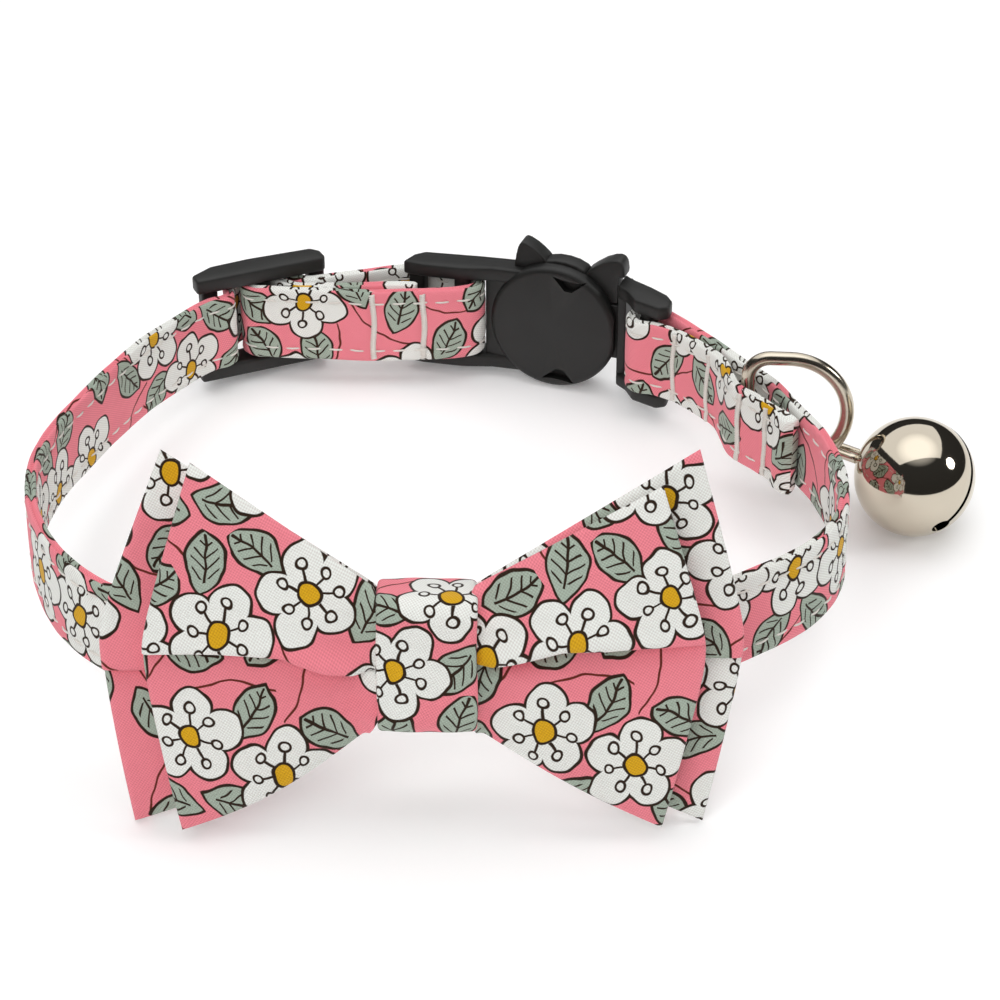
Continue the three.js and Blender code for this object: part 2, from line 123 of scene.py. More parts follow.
class Value:
    """A number socket with arithmetic, so that shader maths reads as an expression."""

    def __init__(self, graph: "Graph", socket: Socket) -> None:
        """Wraps an output socket of a graph's node."""
        self.graph = graph
        self.socket = socket

    def math(self, operation: str, *others: "Value | float", clamp: bool = False) -> "Value":
        """Adds a Math node with this value first and the others after it."""
        return self.graph.math(operation, self, *others, clamp=clamp)

    def __add__(self, other: "Value | float") -> "Value":
        """Adds."""
        return self.math("ADD", other)

    __radd__ = __add__

    def __sub__(self, other: "Value | float") -> "Value":
        """Subtracts."""
        return self.math("SUBTRACT", other)

    def __rsub__(self, other: float) -> "Value":
        """Subtracts this value from a number."""
        return self.graph.math("SUBTRACT", other, self)

    def __mul__(self, other: "Value | float") -> "Value":
        """Multiplies, which also joins two masks where both hold."""
        return self.math("MULTIPLY", other)

    __rmul__ = __mul__

    def __mod__(self, other: float) -> "Value":
        """The remainder, which is never negative."""
        return self.math("FLOORED_MODULO", other)

    def __abs__(self) -> "Value":
        """The size without the sign."""
        return self.math("ABSOLUTE")

    def __lt__(self, other: "Value | float") -> "Value":
        """A mask that is 1 where this value is below the other."""
        return self.math("LESS_THAN", other)

    def __gt__(self, other: "Value | float") -> "Value":
        """A mask that is 1 where this value is above the other."""
        return self.math("GREATER_THAN", other)

    def __or__(self, other: "Value") -> "Value":
        """The larger of two masks."""
        return self.math("MAXIMUM", other)

    def inside(self, reach: float = 0.0, soft: float = 0.07) -> "Value":
        """A mask that is 1 where this distance is under reach, with an edge that is soft wide."""
        return self.math("MULTIPLY_ADD", -1 / soft, reach / soft + 0.5, clamp=True)


def distance(x: Value, y: Value) -> Value:
    """How far a place is from the middle."""
    return (x * x + y * y).math("SQRT")


def folded(angle: Value, far: Value, count: int) -> tuple[Value, Value]:
    """Folds the turns round a motif into one, so that one petal or stamen stands for all.

    Args:
        angle: The angle round the motif.
        far: The distance from its middle.
        count: How many petals or stamens it has.

    Returns:
        The place along and across the folded axis.
    """
    step = 2 * math.pi / count
    fold = angle % step - step / 2
    return far * fold.math("COSINE"), far * fold.math("SINE")


class Graph:
    """The node tree of one material or of the studio's sky."""

    def __init__(self, owner: bpy.types.Material | bpy.types.World) -> None:
        """Takes over its owner's node tree and empties it.

        Args:
            owner: The new material or sky.
        """
        owner.use_nodes = True
        self.owner = owner
        self.tree = owner.node_tree
        self.tree.nodes.clear()

    @classmethod
    def named(cls, name: str) -> "Graph":
        """Starts an empty material of that name."""
        return cls(bpy.data.materials.new(name))

    def node(self, kind: str, settings: dict | None = None, inputs: dict | None = None) -> bpy.types.Node:
        """Adds any node.

        Args:
            kind: The node's type.
            settings: Its properties, set first. stops is a list of (place, colour) for a ramp.
            inputs: Its sockets' values or links, by name or number.

        Returns:
            The node.
        """
        node = self.tree.nodes.new(kind)
        for key, value in (settings or {}).items():
            if key == "stops":
                ramp = node.color_ramp
                while len(ramp.elements) < len(value):
                    ramp.elements.new(1.0)
                for element, (place, colour) in zip(ramp.elements, value):
                    element.position, element.color = place, colour
            else:
                setattr(node, key, value)
        for key, value in (inputs or {}).items():
            self.put(value, node.inputs[key])
        return node

    def put(self, value: object, socket: Socket) -> None:
        """Links or sets one input socket.

        Args:
            value: A value or an output socket to link, or else what the socket is set to.
            socket: The input socket.
        """
        if isinstance(value, Value):
            value = value.socket
        if isinstance(value, Socket):
            self.tree.links.new(value, socket)
        else:
            socket.default_value = value

    def math(self, operation: str, *values: Value | float, clamp: bool = False) -> Value:
        """Adds a Math node, which clamp keeps from 0 to 1."""
        settings = {"operation": operation, "use_clamp": clamp}
        return Value(self, self.node("ShaderNodeMath", settings, dict(enumerate(values))).outputs[0])

    def vector(self, operation: str, *values: object, output: str = "Vector") -> Socket:
        """Adds a Vector Math node and hands over its output Vector or Value."""
        node = self.node("ShaderNodeVectorMath", {"operation": operation}, dict(enumerate(values)))
        return node.outputs[output]

    def length(self, vector: Socket) -> Value:
        """The length of a vector."""
        return Value(self, self.vector("LENGTH", vector, output="Value"))

    def mix(self, share: Value, low: object, high: object, kind: str = "RGBA") -> Socket:
        """Adds a Mix node.

        Args:
            share: 0 for low and 1 for high.
            low: The colour, vector or number at 0.
            high: The one at 1.
            kind: RGBA, VECTOR or FLOAT.

        Returns:
            The mixed socket.
        """
        node = self.node("ShaderNodeMix", {"data_type": kind, "clamp_factor": False})
        shown = [s for s in node.inputs if s.enabled]
        for value, socket in zip((share, low, high), shown):
            self.put(value, socket)
        return next(s for s in node.outputs if s.enabled)

    def parts(self, vector: Socket) -> list[Value]:
        """The three numbers of a vector."""
        return [Value(self, s) for s in self.node("ShaderNodeSeparateXYZ", inputs={0: vector}).outputs]

    def place(self) -> Socket:
        """The place in the piece's own space, in metres."""
        return self.node("ShaderNodeTexCoord").outputs["Object"]

    def noise(self, place: Socket, scale: float, detail: float, output: str = "Fac") -> Value:
        """Soft noise at a place, as the output Fac or Color."""
        settings, inputs = {"noise_dimensions": "3D"}, {"Vector": place, "Scale": scale, "Detail": detail}
        return Value(self, self.node("ShaderNodeTexNoise", settings, inputs).outputs[output])

    def bump(self, height: Value, strength: float, reach: float) -> Socket:
        """The surface's direction with a height on it, which reaches so many metres."""
        inputs = {"Strength": strength, "Distance": reach, "Height": height}
        return self.node("ShaderNodeBump", inputs=inputs).outputs[0]

    def dressed(self, inputs: dict[str, object]) -> bpy.types.Material:
        """Ends the material in one shader with these sockets."""
        return self.finish(self.node("ShaderNodeBsdfPrincipled", inputs=inputs), "ShaderNodeOutputMaterial")

    def finish(self, shader: bpy.types.Node, output: str) -> bpy.types.Material | bpy.types.World:
        """Links the shader to an output node of that type and hands the owner over."""
        self.node(output, inputs={"Surface": shader.outputs[0]})
        return self.owner


CLOTH_MAP = "Cloth"


@dataclass(frozen=True)
class Spot:
    """One motif of the print's repeat: its place in millimetres and its turn in degrees."""

    x: float
    y: float
    turn: float


@dataclass(frozen=True)
class FloralPrint:
    """A repeating print of blossoms, leaves and thin stems, drawn as distances in the cloth's plane.

    Upper blossoms lie over lower ones, blossoms over leaves, and leaves over stems. Lengths are millimetres.
    """

    repeat: float = 38.0
    upper: tuple[Spot, ...] = (
        Spot(6.2, 6.5, 10), Spot(25.4, 12.2, 40), Spot(12.0, 24.6, 75), Spot(31.8, 29.6, 25),
    )
    lower: tuple[Spot, ...] = (
        Spot(15.6, 10.2, 55), Spot(35.2, 16.4, 5), Spot(21.9, 33.6, 20),
    )
    leaves: tuple[Spot, ...] = (
        Spot(10.6, 13.9, 60), Spot(3.4, 14.2, 115), Spot(15.4, 2.4, -70), Spot(22.0, 5.2, 200),
        Spot(30.9, 6.3, -40), Spot(24.2, 19.8, 95), Spot(18.6, 17.0, 150), Spot(29.7, 20.8, 40),
        Spot(7.4, 20.2, 215), Spot(6.2, 33.9, 80), Spot(13.9, 31.9, 90), Spot(26.4, 26.2, 190),
        Spot(36.9, 34.6, 30), Spot(28.7, 36.6, 120), Spot(36.2, 23.4, 60), Spot(19.4, 25.8, 10),
    )
    stems: tuple[Spot, ...] = (
        Spot(20.3, 21.6, 35), Spot(33.9, 2.4, 100), Spot(8.8, 16.9, 20), Spot(12.4, 36.6, 160),
        Spot(0.6, 24.3, 80), Spot(28.6, 1.4, 10), Spot(23.0, 15.6, 110), Spot(3.4, 30.4, 200),
    )
    petals: int = 5
    petal_reach: float = 3.42
    petal_round: float = 2.26
    petal_sway: float = 0.22
    heart: float = 0.9
    eye: float = 1.2
    eye_sway: float = 0.14
    stamens: int = 7
    stamen_turn: float = 0.3
    stamen_reach: float = 3.0
    stamen_sway: float = 0.3
    anther: float = 0.54
    line: float = 0.158
    fine: float = 0.9
    leaf_half: float = 3.55
    leaf_wide: float = 2.1
    leaf_bend: float = 0.035
    leaf_drop: float = 0.12
    leaf_taper: float = 0.05
    rib_line: float = 0.95
    rib_end: float = 0.62
    vein_end: float = 0.5
    vein_pitch: float = 1.35
    vein_slope: float = 0.95
    vein_start: float = 8.0
    vein_inset: float = 0.5
    mark_inset: float = 0.3
    stem_line: float = 0.85
    stem_bend: float = 0.05
    stem_drop: float = 0.4
    wander: float = 1.1
    wander_scale: float = 0.32
    ground: Colour = srgb(241, 135, 147)
    white: Colour = srgb(235, 234, 229)
    gold: Colour = srgb(216, 164, 28)
    sage: Colour = srgb(166, 177, 163)
    ink: Colour = srgb(44, 29, 17)
    stem: Colour = srgb(98, 40, 26)

    def nearest(self, graph: Graph, point: Socket, spots: Sequence[Spot]) -> tuple[Socket, Value]:
        """Finds, at each point of the cloth, the nearest of some motifs.

        Args:
            graph: The material's graph.
            point: The place on the cloth.
            spots: The motifs of one repeat.

        Returns:
            The place measured from that motif's middle, and that motif's turn in radians.
        """
        half = self.repeat / 2
        offset, turn, best = None, None, None
        for spot in spots:
            away = graph.vector("SUBTRACT", point, (spot.x, spot.y, 0.0))
            away = graph.vector("WRAP", away, (half, half, 1.0), (-half, -half, -1.0))
            far = graph.length(away)
            angle = math.radians(spot.turn)
            if best is None:
                offset, turn, best = away, angle, far
            else:
                closer = far < best
                offset = graph.mix(closer, offset, away, "VECTOR")
                turn = Value(graph, graph.mix(closer, turn, angle, "FLOAT"))
                best = best.math("MINIMUM", far)
        return offset, turn

    def axes(self, graph: Graph, point: Socket, spots: Sequence[Spot]) -> tuple[Value, Value]:
        """Measures the cloth along and across the nearest of some long motifs.

        Args:
            graph: The material's graph.
            point: The place on the cloth.
            spots: The motifs of one repeat.

        Returns:
            The place along the motif and across it.
        """
        offset, turn = self.nearest(graph, point, spots)
        inputs = {"Vector": offset, "Angle": turn}
        node = graph.node("ShaderNodeVectorRotate", {"rotation_type": "Z_AXIS"}, inputs)
        x, y, _ = graph.parts(node.outputs[0])
        return x, y

    def blossoms(self, graph: Graph, point: Socket, spots: Sequence[Spot], under: object) -> Socket:
        """Draws one set of blossoms over a colour.

        Args:
            graph: The material's graph.
            point: The place on the cloth.
            spots: The blossoms of one repeat.
            under: The colour that they lie on.

        Returns:
            The colour with the blossoms drawn.
        """
        offset, turn = self.nearest(graph, point, spots)
        x, y, _ = graph.parts(offset)
        far = graph.length(offset)
        angle = y.math("ARCTAN2", x) + turn
        sway = (angle * 2).math("SINE")
        along, across = folded(angle, far - sway * self.petal_sway, self.petals)
        petal = distance(along - self.petal_reach, across) - self.petal_round
        petal = petal.math("MINIMUM", far - self.petal_reach * self.heart)
        along, across = folded(angle + self.stamen_turn, far + sway * self.stamen_sway, self.stamens)
        anther = distance(along - self.stamen_reach, across) - self.anther
        fine = self.line * self.fine
        stalk = abs(across).inside(fine) * (along > self.eye) * (along < self.stamen_reach)
        stalk = stalk * (anther * -1).inside()
        eye = (far + sway * self.eye_sway) - self.eye
        marks = stalk | abs(anther).inside(fine) | abs(eye).inside(self.line)
        colour = graph.mix(petal.inside(), under, self.white)
        colour = graph.mix(eye.inside(), colour, self.gold)
        colour = graph.mix(marks * petal.inside(), colour, self.ink)
        return graph.mix(abs(petal).inside(self.line), colour, self.ink)

    def leafage(self, graph: Graph, point: Socket, under: object) -> Socket:
        """Draws the leaves over a colour.

        Args:
            graph: The material's graph.
            point: The place on the cloth.
            under: The colour that they lie on.

        Returns:
            The colour with the leaves drawn.
        """
        x, y = self.axes(graph, point, self.leaves)
        side = abs(y + x * x * self.leaf_bend - self.leaf_drop) * (x * self.leaf_taper + 1.0)
        radius = (self.leaf_half**2 + self.leaf_wide**2) / (2 * self.leaf_wide)
        edge = distance(x, side + (radius - self.leaf_wide)) - radius
        rib = side.inside(self.line * self.rib_line) * (x < self.leaf_half * self.rib_end)
        ladder = (x + side * self.vein_slope + self.vein_start) % self.vein_pitch - self.vein_pitch / 2
        veins = abs(ladder).inside(self.line * self.fine) * (edge < -self.vein_inset)
        veins = veins * (x < self.leaf_half * self.vein_end)
        marks = (rib | veins) * (edge < -self.mark_inset)
        colour = graph.mix(edge.inside(), under, self.sage)
        colour = graph.mix(marks, colour, self.ink)
        return graph.mix(abs(edge).inside(self.line), colour, self.ink)

    def stalks(self, graph: Graph, point: Socket, under: object) -> Socket:
        """Draws the thin bent stems over a colour.

        Args:
            graph: The material's graph.
            point: The place on the cloth.
            under: The colour that they lie on.

        Returns:
            The colour with the stems drawn.
        """
        x, y = self.axes(graph, point, self.stems)
        bent = abs(y + x * x * self.stem_bend - self.stem_drop)
        return graph.mix(bent.inside(self.line * self.stem_line), under, self.stem)

    def colour(self, graph: Graph, place: Socket) -> Socket:
        """The whole print's colour at a place on the cloth.

        Args:
            graph: The material's graph.
            place: The place, in millimetres.

        Returns:
            The colour socket.
        """
        drift = graph.noise(place, self.wander_scale, 1.0, "Color")
        drift = graph.vector("SUBTRACT", drift, (0.5, 0.5, 0.5))
        point = graph.vector("MULTIPLY_ADD", drift, (self.wander, self.wander, 0.0), place)
        colour = self.stalks(graph, point, self.ground)
        colour = self.leafage(graph, point, colour)
        colour = self.blossoms(graph, point, self.lower, colour)
        return self.blossoms(graph, point, self.upper, colour)


@dataclass(frozen=True)
class ClothFinish:
    """Plain-woven printed cotton, with painted shade between its threads and painted highlight on their tops.
    """

    name: str
    turn: float
    shift: Plan
    thread: float = 0.2
    slant: float = 0.25
    # This tint and the share after it: painted shade that darkens the print between the woven threads.
    hollow: tuple[float, float, float] = (0.62, 0.56, 0.56)
    thread_shade_share: float = 0.42
    # This tint and the share after it: painted highlight that lightens the print on top of the woven threads.
    crown: tuple[float, float, float] = (1.14, 1.22, 1.22)
    thread_highlight_share: float = 0.7
    pattern: FloralPrint = FloralPrint()

    def material(self) -> bpy.types.Material:
        """Makes the cloth's material.

        Returns:
            The material, which reads the piece's cloth map in millimetres.
        """
        graph = Graph.named(self.name)
        place = graph.node("ShaderNodeUVMap", {"uv_map": CLOTH_MAP}).outputs["UV"]
        turn = (0.0, 0.0, math.radians(self.turn))
        inputs = {"Vector": place, "Location": (*self.shift, 0.0), "Rotation": turn}
        point = graph.node("ShaderNodeMapping", {"vector_type": "POINT"}, inputs).outputs[0]
        colour = self.pattern.colour(graph, point)
        weave = self.weave(graph, place)
        fade = graph.noise(place, 0.12, 3.0)
        # Painted shade: the print is darkened where the weave is low, between the threads.
        groove_shade = graph.vector("MULTIPLY", colour, self.hollow)
        colour = graph.mix((1 - weave) * self.thread_shade_share, colour, groove_shade)
        # Painted highlight: the print is lightened where the weave is high, on top of the threads; the noise
        # fade adds tone that varies at random.
        bright = graph.vector("MULTIPLY", colour, self.crown)
        colour = graph.mix(weave * self.thread_highlight_share + (fade - 0.5) * 0.5, colour, bright)
        height = weave + graph.noise(place, 1.1, 4.0) * 0.6
        return graph.dressed({
            "Base Color": colour, "Roughness": 0.86, "Normal": graph.bump(height, 0.55, 0.00009),
            "Sheen Weight": 0.12, "Sheen Roughness": 0.4, "Specular IOR Level": 0.25,
        })

    def weave(self, graph: Graph, place: Socket) -> Value:
        """The over-and-under of the threads.

        Args:
            graph: The material's graph.
            place: The place on the cloth, in millimetres.

        Returns:
            The height, from 0 between threads to 1 on top of them.
        """
        u, v, _ = graph.parts(place)
        turn = math.pi / self.thread
        warp = ((u + v * self.slant) * turn).math("SINE")
        weft = ((v - u * self.slant) * turn).math("SINE")
        return warp * weft * 0.5 + 0.5


@dataclass(frozen=True)
class PlasticFinish:
    """Moulded black plastic with a fine satin grain and a painted highlight that makes it a little lighter on
    its edges.
    """

    name: str = "black_plastic"
    body: Colour = srgb(23, 23, 22)
    # This colour and the two numbers after it: painted highlight, a lighter colour on sharp convex edges.
    edge_highlight: Colour = srgb(40, 40, 38)
    highlight_from: float = 0.52
    highlight_gain: float = 9.0

    def material(self) -> bpy.types.Material:
        """Makes the plastic's material.

        Returns:
            The material.
        """
        graph = Graph.named(self.name)
        place = graph.place()
        grain = graph.noise(place, 5200.0, 3.0)
        cloud = graph.noise(place, 240.0, 4.0)
        # Painted highlight: Pointiness lightens the colour along sharp convex edges.
        bend = Value(graph, graph.node("ShaderNodeNewGeometry").outputs["Pointiness"])
        edge = (bend - self.highlight_from) * self.highlight_gain
        return graph.dressed({
            "Base Color": graph.mix(edge.math("ADD", 0.0, clamp=True), self.body, self.edge_highlight),
            "Roughness": grain * 0.1 + cloud * 0.14 + 0.4,
            "Normal": graph.bump(grain, 0.16, 0.00005), "IOR": 1.5,
        })


@dataclass(frozen=True)
class NickelFinish:
    """Nickel plate, a little warm, with faint swirls from polishing."""

    name: str
    rough: float
    tint: Colour = srgb(203, 194, 178)
    dull: Colour = srgb(184, 173, 154)

    def material(self) -> bpy.types.Material:
        """Makes the metal's material.

        Returns:
            The material.
        """
        graph = Graph.named(self.name)
        place = graph.place()
        cloud = graph.noise(place, 180.0, 4.0)
        scratch = graph.noise(place, 2600.0, 6.0)
        return graph.dressed({
            "Base Color": graph.mix(cloud * 0.35, self.tint, self.dull), "Metallic": 1.0,
            "Roughness": cloud * 0.07 + scratch * 0.05 + (self.rough - 0.06),
            "Normal": graph.bump(scratch, 0.05, 0.00002),
        })


@dataclass(frozen=True)
class ThreadFinish:
    """White sewing thread or knitted elastic, with a fine twist whose grooves get painted shade."""

    name: str
    twist: float
    tint: Colour = srgb(236, 232, 226)
    # hollow: painted shade, the tint that darkens the twist's grooves.
    hollow: tuple[float, float, float] = (0.8, 0.78, 0.76)

    def material(self) -> bpy.types.Material:
        """Makes the thread's material.

        Returns:
            The material.
        """
        graph = Graph.named(self.name)
        ply = graph.noise(graph.place(), self.twist, 2.0)
        # Painted shade: the thread is darkened where the twist's bump is low.
        groove_shade = graph.vector("MULTIPLY", self.tint[:3], self.hollow)
        return graph.dressed({
            "Base Color": graph.mix(ply, groove_shade, self.tint), "Roughness": 0.78,
            "Normal": graph.bump(ply, 0.4, 0.00005), "Sheen Weight": 0.1,
        })


@dataclass(frozen=True)
class FloorFinish:
    """The plain pale surface that the collar rests on."""

    name: str = "floor"
    tint: Colour = srgb(250, 250, 250)
    shade: Colour = srgb(236, 236, 236)

    def material(self) -> bpy.types.Material:
        """Makes the floor's material.

        Returns:
            The material.
        """
        graph = Graph.named(self.name)
        cloud = graph.noise(graph.place(), 6.0, 3.0)
        return graph.dressed({
            "Base Color": graph.mix(cloud * 0.05, self.tint, self.shade),
            "Roughness": 0.9, "Specular IOR Level": 0.1,
            "Emission Color": (1.0, 1.0, 1.0, 1.0), "Emission Strength": 0.12,
        })


@dataclass
class Shape:
    """A surface of points and faces, with the cloth map's place for each face's corners."""

    points: np.ndarray
    faces: list[tuple[int, ...]]
    cloth: list[Plan] | None = None

    @staticmethod
    def joined(shapes: Iterable["Shape"]) -> "Shape":
        """Many surfaces as one.

        Args:
            shapes: The surfaces, all with a cloth map or all without.

        Returns:
            The one surface.
        """
        points, faces, cloth, start = [], [], [], 0
        for shape in shapes:
            points.append(shape.points)
            faces.extend(tuple(i + start for i in face) for face in shape.faces)
            cloth.extend(shape.cloth or [])
            start += len(shape.points)
        return Shape(np.concatenate(points), faces, cloth or None)

    def mesh(self, name: str) -> bpy.types.Mesh:
        """The surface as a smooth mesh in metres with its faces turned out.

        Args:
            name: The mesh's name.

        Returns:
            The mesh.
        """
        mesh = bpy.data.meshes.new(name)
        mesh.from_pydata((self.points * MM).tolist(), [], self.faces)
        if self.cloth:
            layer = mesh.uv_layers.new(name=CLOTH_MAP)
            layer.data.foreach_set("uv", np.array(self.cloth, np.float32).ravel())
        mesh.polygons.foreach_set("use_smooth", [True] * len(mesh.polygons))
        edit = bmesh.new()
        edit.from_mesh(mesh)
        bmesh.ops.recalc_face_normals(edit, faces=edit.faces)
        edit.to_mesh(mesh)
        edit.free()
        mesh.update()
        return mesh


def wrapped(rings: np.ndarray, along: np.ndarray, around: np.ndarray, closed: bool = False) -> Shape:
    """The surface through a row of closed rings, capped at both ends unless it closes on itself.

    Args:
        rings: Points, as rings by places round each ring by three.
        along: The cloth map's place of each ring, with one more where the row is closed.
        around: The cloth map's place round a ring, with one more than a ring has points.
        closed: True where the last ring joins the first.

    Returns:
        The surface.
    """
    count, size = rings.shape[:2]
    spans = count if closed else count - 1
    faces, cloth = [], []
    for i in range(spans):
        low, high = i * size, (i + 1) % count * size
        for k in range(size):
            m = (k + 1) % size
            faces.append((low + k, low + m, high + m, high + k))
            a, b, c, d = along[i], along[i + 1], around[k], around[k + 1]
            cloth.extend([(a, c), (a, d), (b, d), (b, c)])
    if not closed:
        for base, order in ((0, range(size - 1, -1, -1)), ((count - 1) * size, range(size))):
            faces.append(tuple(base + k for k in order))
            end = along[0] if base == 0 else along[-1]
            cloth.extend([(end, around[k]) for k in order])
    return Shape(rings.reshape(-1, 3), faces, cloth)


def tube(path: np.ndarray, radius: float, sides: int = 6, closed: bool = False) -> Shape:
    """A round thread or wire along a path.

    Args:
        path: The points of its middle.
        radius: Its half thickness.
        sides: How many faces it has round.
        closed: True for a ring.

    Returns:
        The surface.
    """
    ahead = np.roll(path, -1, 0) - np.roll(path, 1, 0)
    if not closed:
        ahead[0], ahead[-1] = path[1] - path[0], path[-1] - path[-2]
    ahead = unit(ahead)
    side = np.cross(ahead[0], UP if abs(ahead[0][2]) < 0.9 else EAST)
    angles = 2 * np.pi * np.arange(sides) / sides
    rings = []
    for place, forward in zip(path, ahead):
        side = side - forward * (side @ forward)
        side /= np.linalg.norm(side)
        other = np.cross(forward, side)
        rings.append(place + radius * (np.outer(np.cos(angles), side) + np.outer(np.sin(angles), other)))
    count = len(path) + (1 if closed else 0)
    return wrapped(np.array(rings), np.arange(count, dtype=float), np.arange(sides + 1, dtype=float), closed)


def lathed(profile: Sequence[Plan], sides: int) -> Shape:
    """A solid turned round Z.

    Args:
        profile: Its outline as (radius, height), starting and ending on the axis.
        sides: How many faces it has round.

    Returns:
        The surface.
    """
    inner = profile[1:-1]
    angles = 2 * np.pi * np.arange(sides) / sides
    points = [(r * math.cos(a), r * math.sin(a), z) for r, z in inner for a in angles]
    start, end = len(points), len(points) + 1
    points += [(0.0, 0.0, profile[0][1]), (0.0, 0.0, profile[-1][1])]
    faces = []
    last = (len(inner) - 1) * sides
    for k in range(sides):
        m = (k + 1) % sides
        faces.append((start, m, k))
        faces.append((end, last + k, last + m))
        for i in range(len(inner) - 1):
            low, high = i * sides, (i + 1) * sides
            faces.append((low + k, low + m, high + m, high + k))
    return Shape(np.array(points), faces)


def ball(radius: float, rows: int, sides: int) -> Shape:
    """A ball about the origin.

    Args:
        radius: Its radius.
        rows: How many rows of faces it has from the bottom to the top.
        sides: How many faces it has round.

    Returns:
        The surface.
    """
    turns = [math.pi * (i / rows - 0.5) for i in range(rows + 1)]
    rim = [(radius * math.cos(t) if 0 < i < rows else 0.0, radius * math.sin(t)) for i, t in enumerate(turns)]
    return lathed(rim, sides)


class Boolean(Enum):
    """How one solid changes another."""

    JOIN = "UNION"
    CUT = "DIFFERENCE"


Step = tuple[Boolean, bpy.types.Mesh]


def carved(body: bpy.types.Mesh, steps: Sequence[Step]) -> bpy.types.Mesh:
    """Joins solids to a body and cuts them from it, in order.

    Args:
        body: The first solid.
        steps: Each further solid, and whether it is joined or cut.

    Returns:
        The finished mesh.
    """
    scene = bpy.context.scene.collection.objects
    base = bpy.data.objects.new("carving", body)
    scene.link(base)
    tools = []
    for how, mesh in steps:
        tool = bpy.data.objects.new("tool", mesh)
        scene.link(tool)
        tools.append(tool)
        change = base.modifiers.new(how.value, "BOOLEAN")
        change.operation, change.solver, change.object = how.value, "EXACT", tool
    bpy.context.view_layer.update()
    done = bpy.data.meshes.new_from_object(base.evaluated_get(bpy.context.evaluated_depsgraph_get()))
    for spare in (base, *tools):
        bpy.data.objects.remove(spare)
    return done


def by_angle(mesh: bpy.types.Mesh, degrees: float) -> bpy.types.Mesh:
    """Shades a mesh smooth apart from its sharp edges.

    Args:
        mesh: The mesh.
        degrees: How sharp an edge is to stay sharp.

    Returns:
        The same mesh.
    """
    mesh.polygons.foreach_set("use_smooth", [True] * len(mesh.polygons))
    edit = bmesh.new()
    edit.from_mesh(mesh)
    limit = math.radians(degrees)
    for edge in edit.edges:
        edge.smooth = len(edge.link_faces) == 2 and edge.calc_face_angle(0.0) < limit
    edit.to_mesh(mesh)
    edit.free()
    mesh.update()
    return mesh


def moulded(outline: Sequence[Plan], low: float, high: float, bevel: float) -> bmesh.types.BMesh:
    """An outline in X and Y made solid between two heights, with rounded edges.

    Args:
        outline: Its corners in order.
        low: The lower height.
        high: The upper height.
        bevel: The rounding's size.

    Returns:
        The solid as a bmesh.
    """
    edit = bmesh.new()
    bottom = [edit.verts.new((x, y, low)) for x, y in outline]
    top = [edit.verts.new((x, y, high)) for x, y in outline]
    edit.faces.new(bottom)
    edit.faces.new(top)
    for i, _ in enumerate(outline):
        j = (i + 1) % len(outline)
        edit.faces.new((bottom[i], bottom[j], top[j], top[i]))
    bmesh.ops.recalc_face_normals(edit, faces=edit.faces)
    sharp_from = math.radians(18)
    sharp = [e for e in edit.edges if e.calc_face_angle(0.0) > sharp_from]
    bmesh.ops.bevel(edit, geom=sharp, offset=bevel, segments=3, profile=0.5, affect="EDGES",
                    clamp_overlap=True)
    return edit


def solid(edit: bmesh.types.BMesh, place: Matrix = Matrix()) -> bpy.types.Mesh:
    """Turns a bmesh in millimetres into a mesh in metres.

    Args:
        edit: The bmesh, which is used up.
        place: Where it is moved first, in millimetres.

    Returns:
        The mesh.
    """
    mesh = bpy.data.meshes.new("solid")
    bmesh.ops.transform(edit, matrix=place, verts=edit.verts)
    bmesh.ops.scale(edit, vec=(MM, MM, MM), verts=edit.verts)
    edit.to_mesh(mesh)
    edit.free()
    return mesh


def box(size: Sequence[float], centre: Sequence[float], bevel: float) -> bpy.types.Mesh:
    """A box with rounded edges.

    Args:
        size: Its three sizes.
        centre: Its middle.
        bevel: The rounding's size.

    Returns:
        The solid.
    """
    x, y, z = (s / 2 for s in size)
    a, b, c = centre
    outline = [(a - x, b - y), (a + x, b - y), (a + x, b + y), (a - x, b + y)]
    return solid(moulded(outline, c - z, c + z, bevel))


def rod(radius: float, length: float, place: Matrix) -> bpy.types.Mesh:
    """A round bar along Z about its own middle, and then moved.

    Args:
        radius: Its radius.
        length: Its length.
        place: Where it is moved, in millimetres.

    Returns:
        The solid.
    """
    edit = bmesh.new()
    bmesh.ops.create_cone(edit, cap_ends=True, segments=32, radius1=radius, radius2=radius, depth=length)
    return solid(edit, place)


def plate(outline: Sequence[Plan], near: float, far: float, bevel: float) -> bpy.types.Mesh:
    """An outline in X and Z made solid from near to far in Y."""
    return solid(moulded(outline, -far, -near, bevel), Matrix.Rotation(math.pi / 2, 4, "X"))


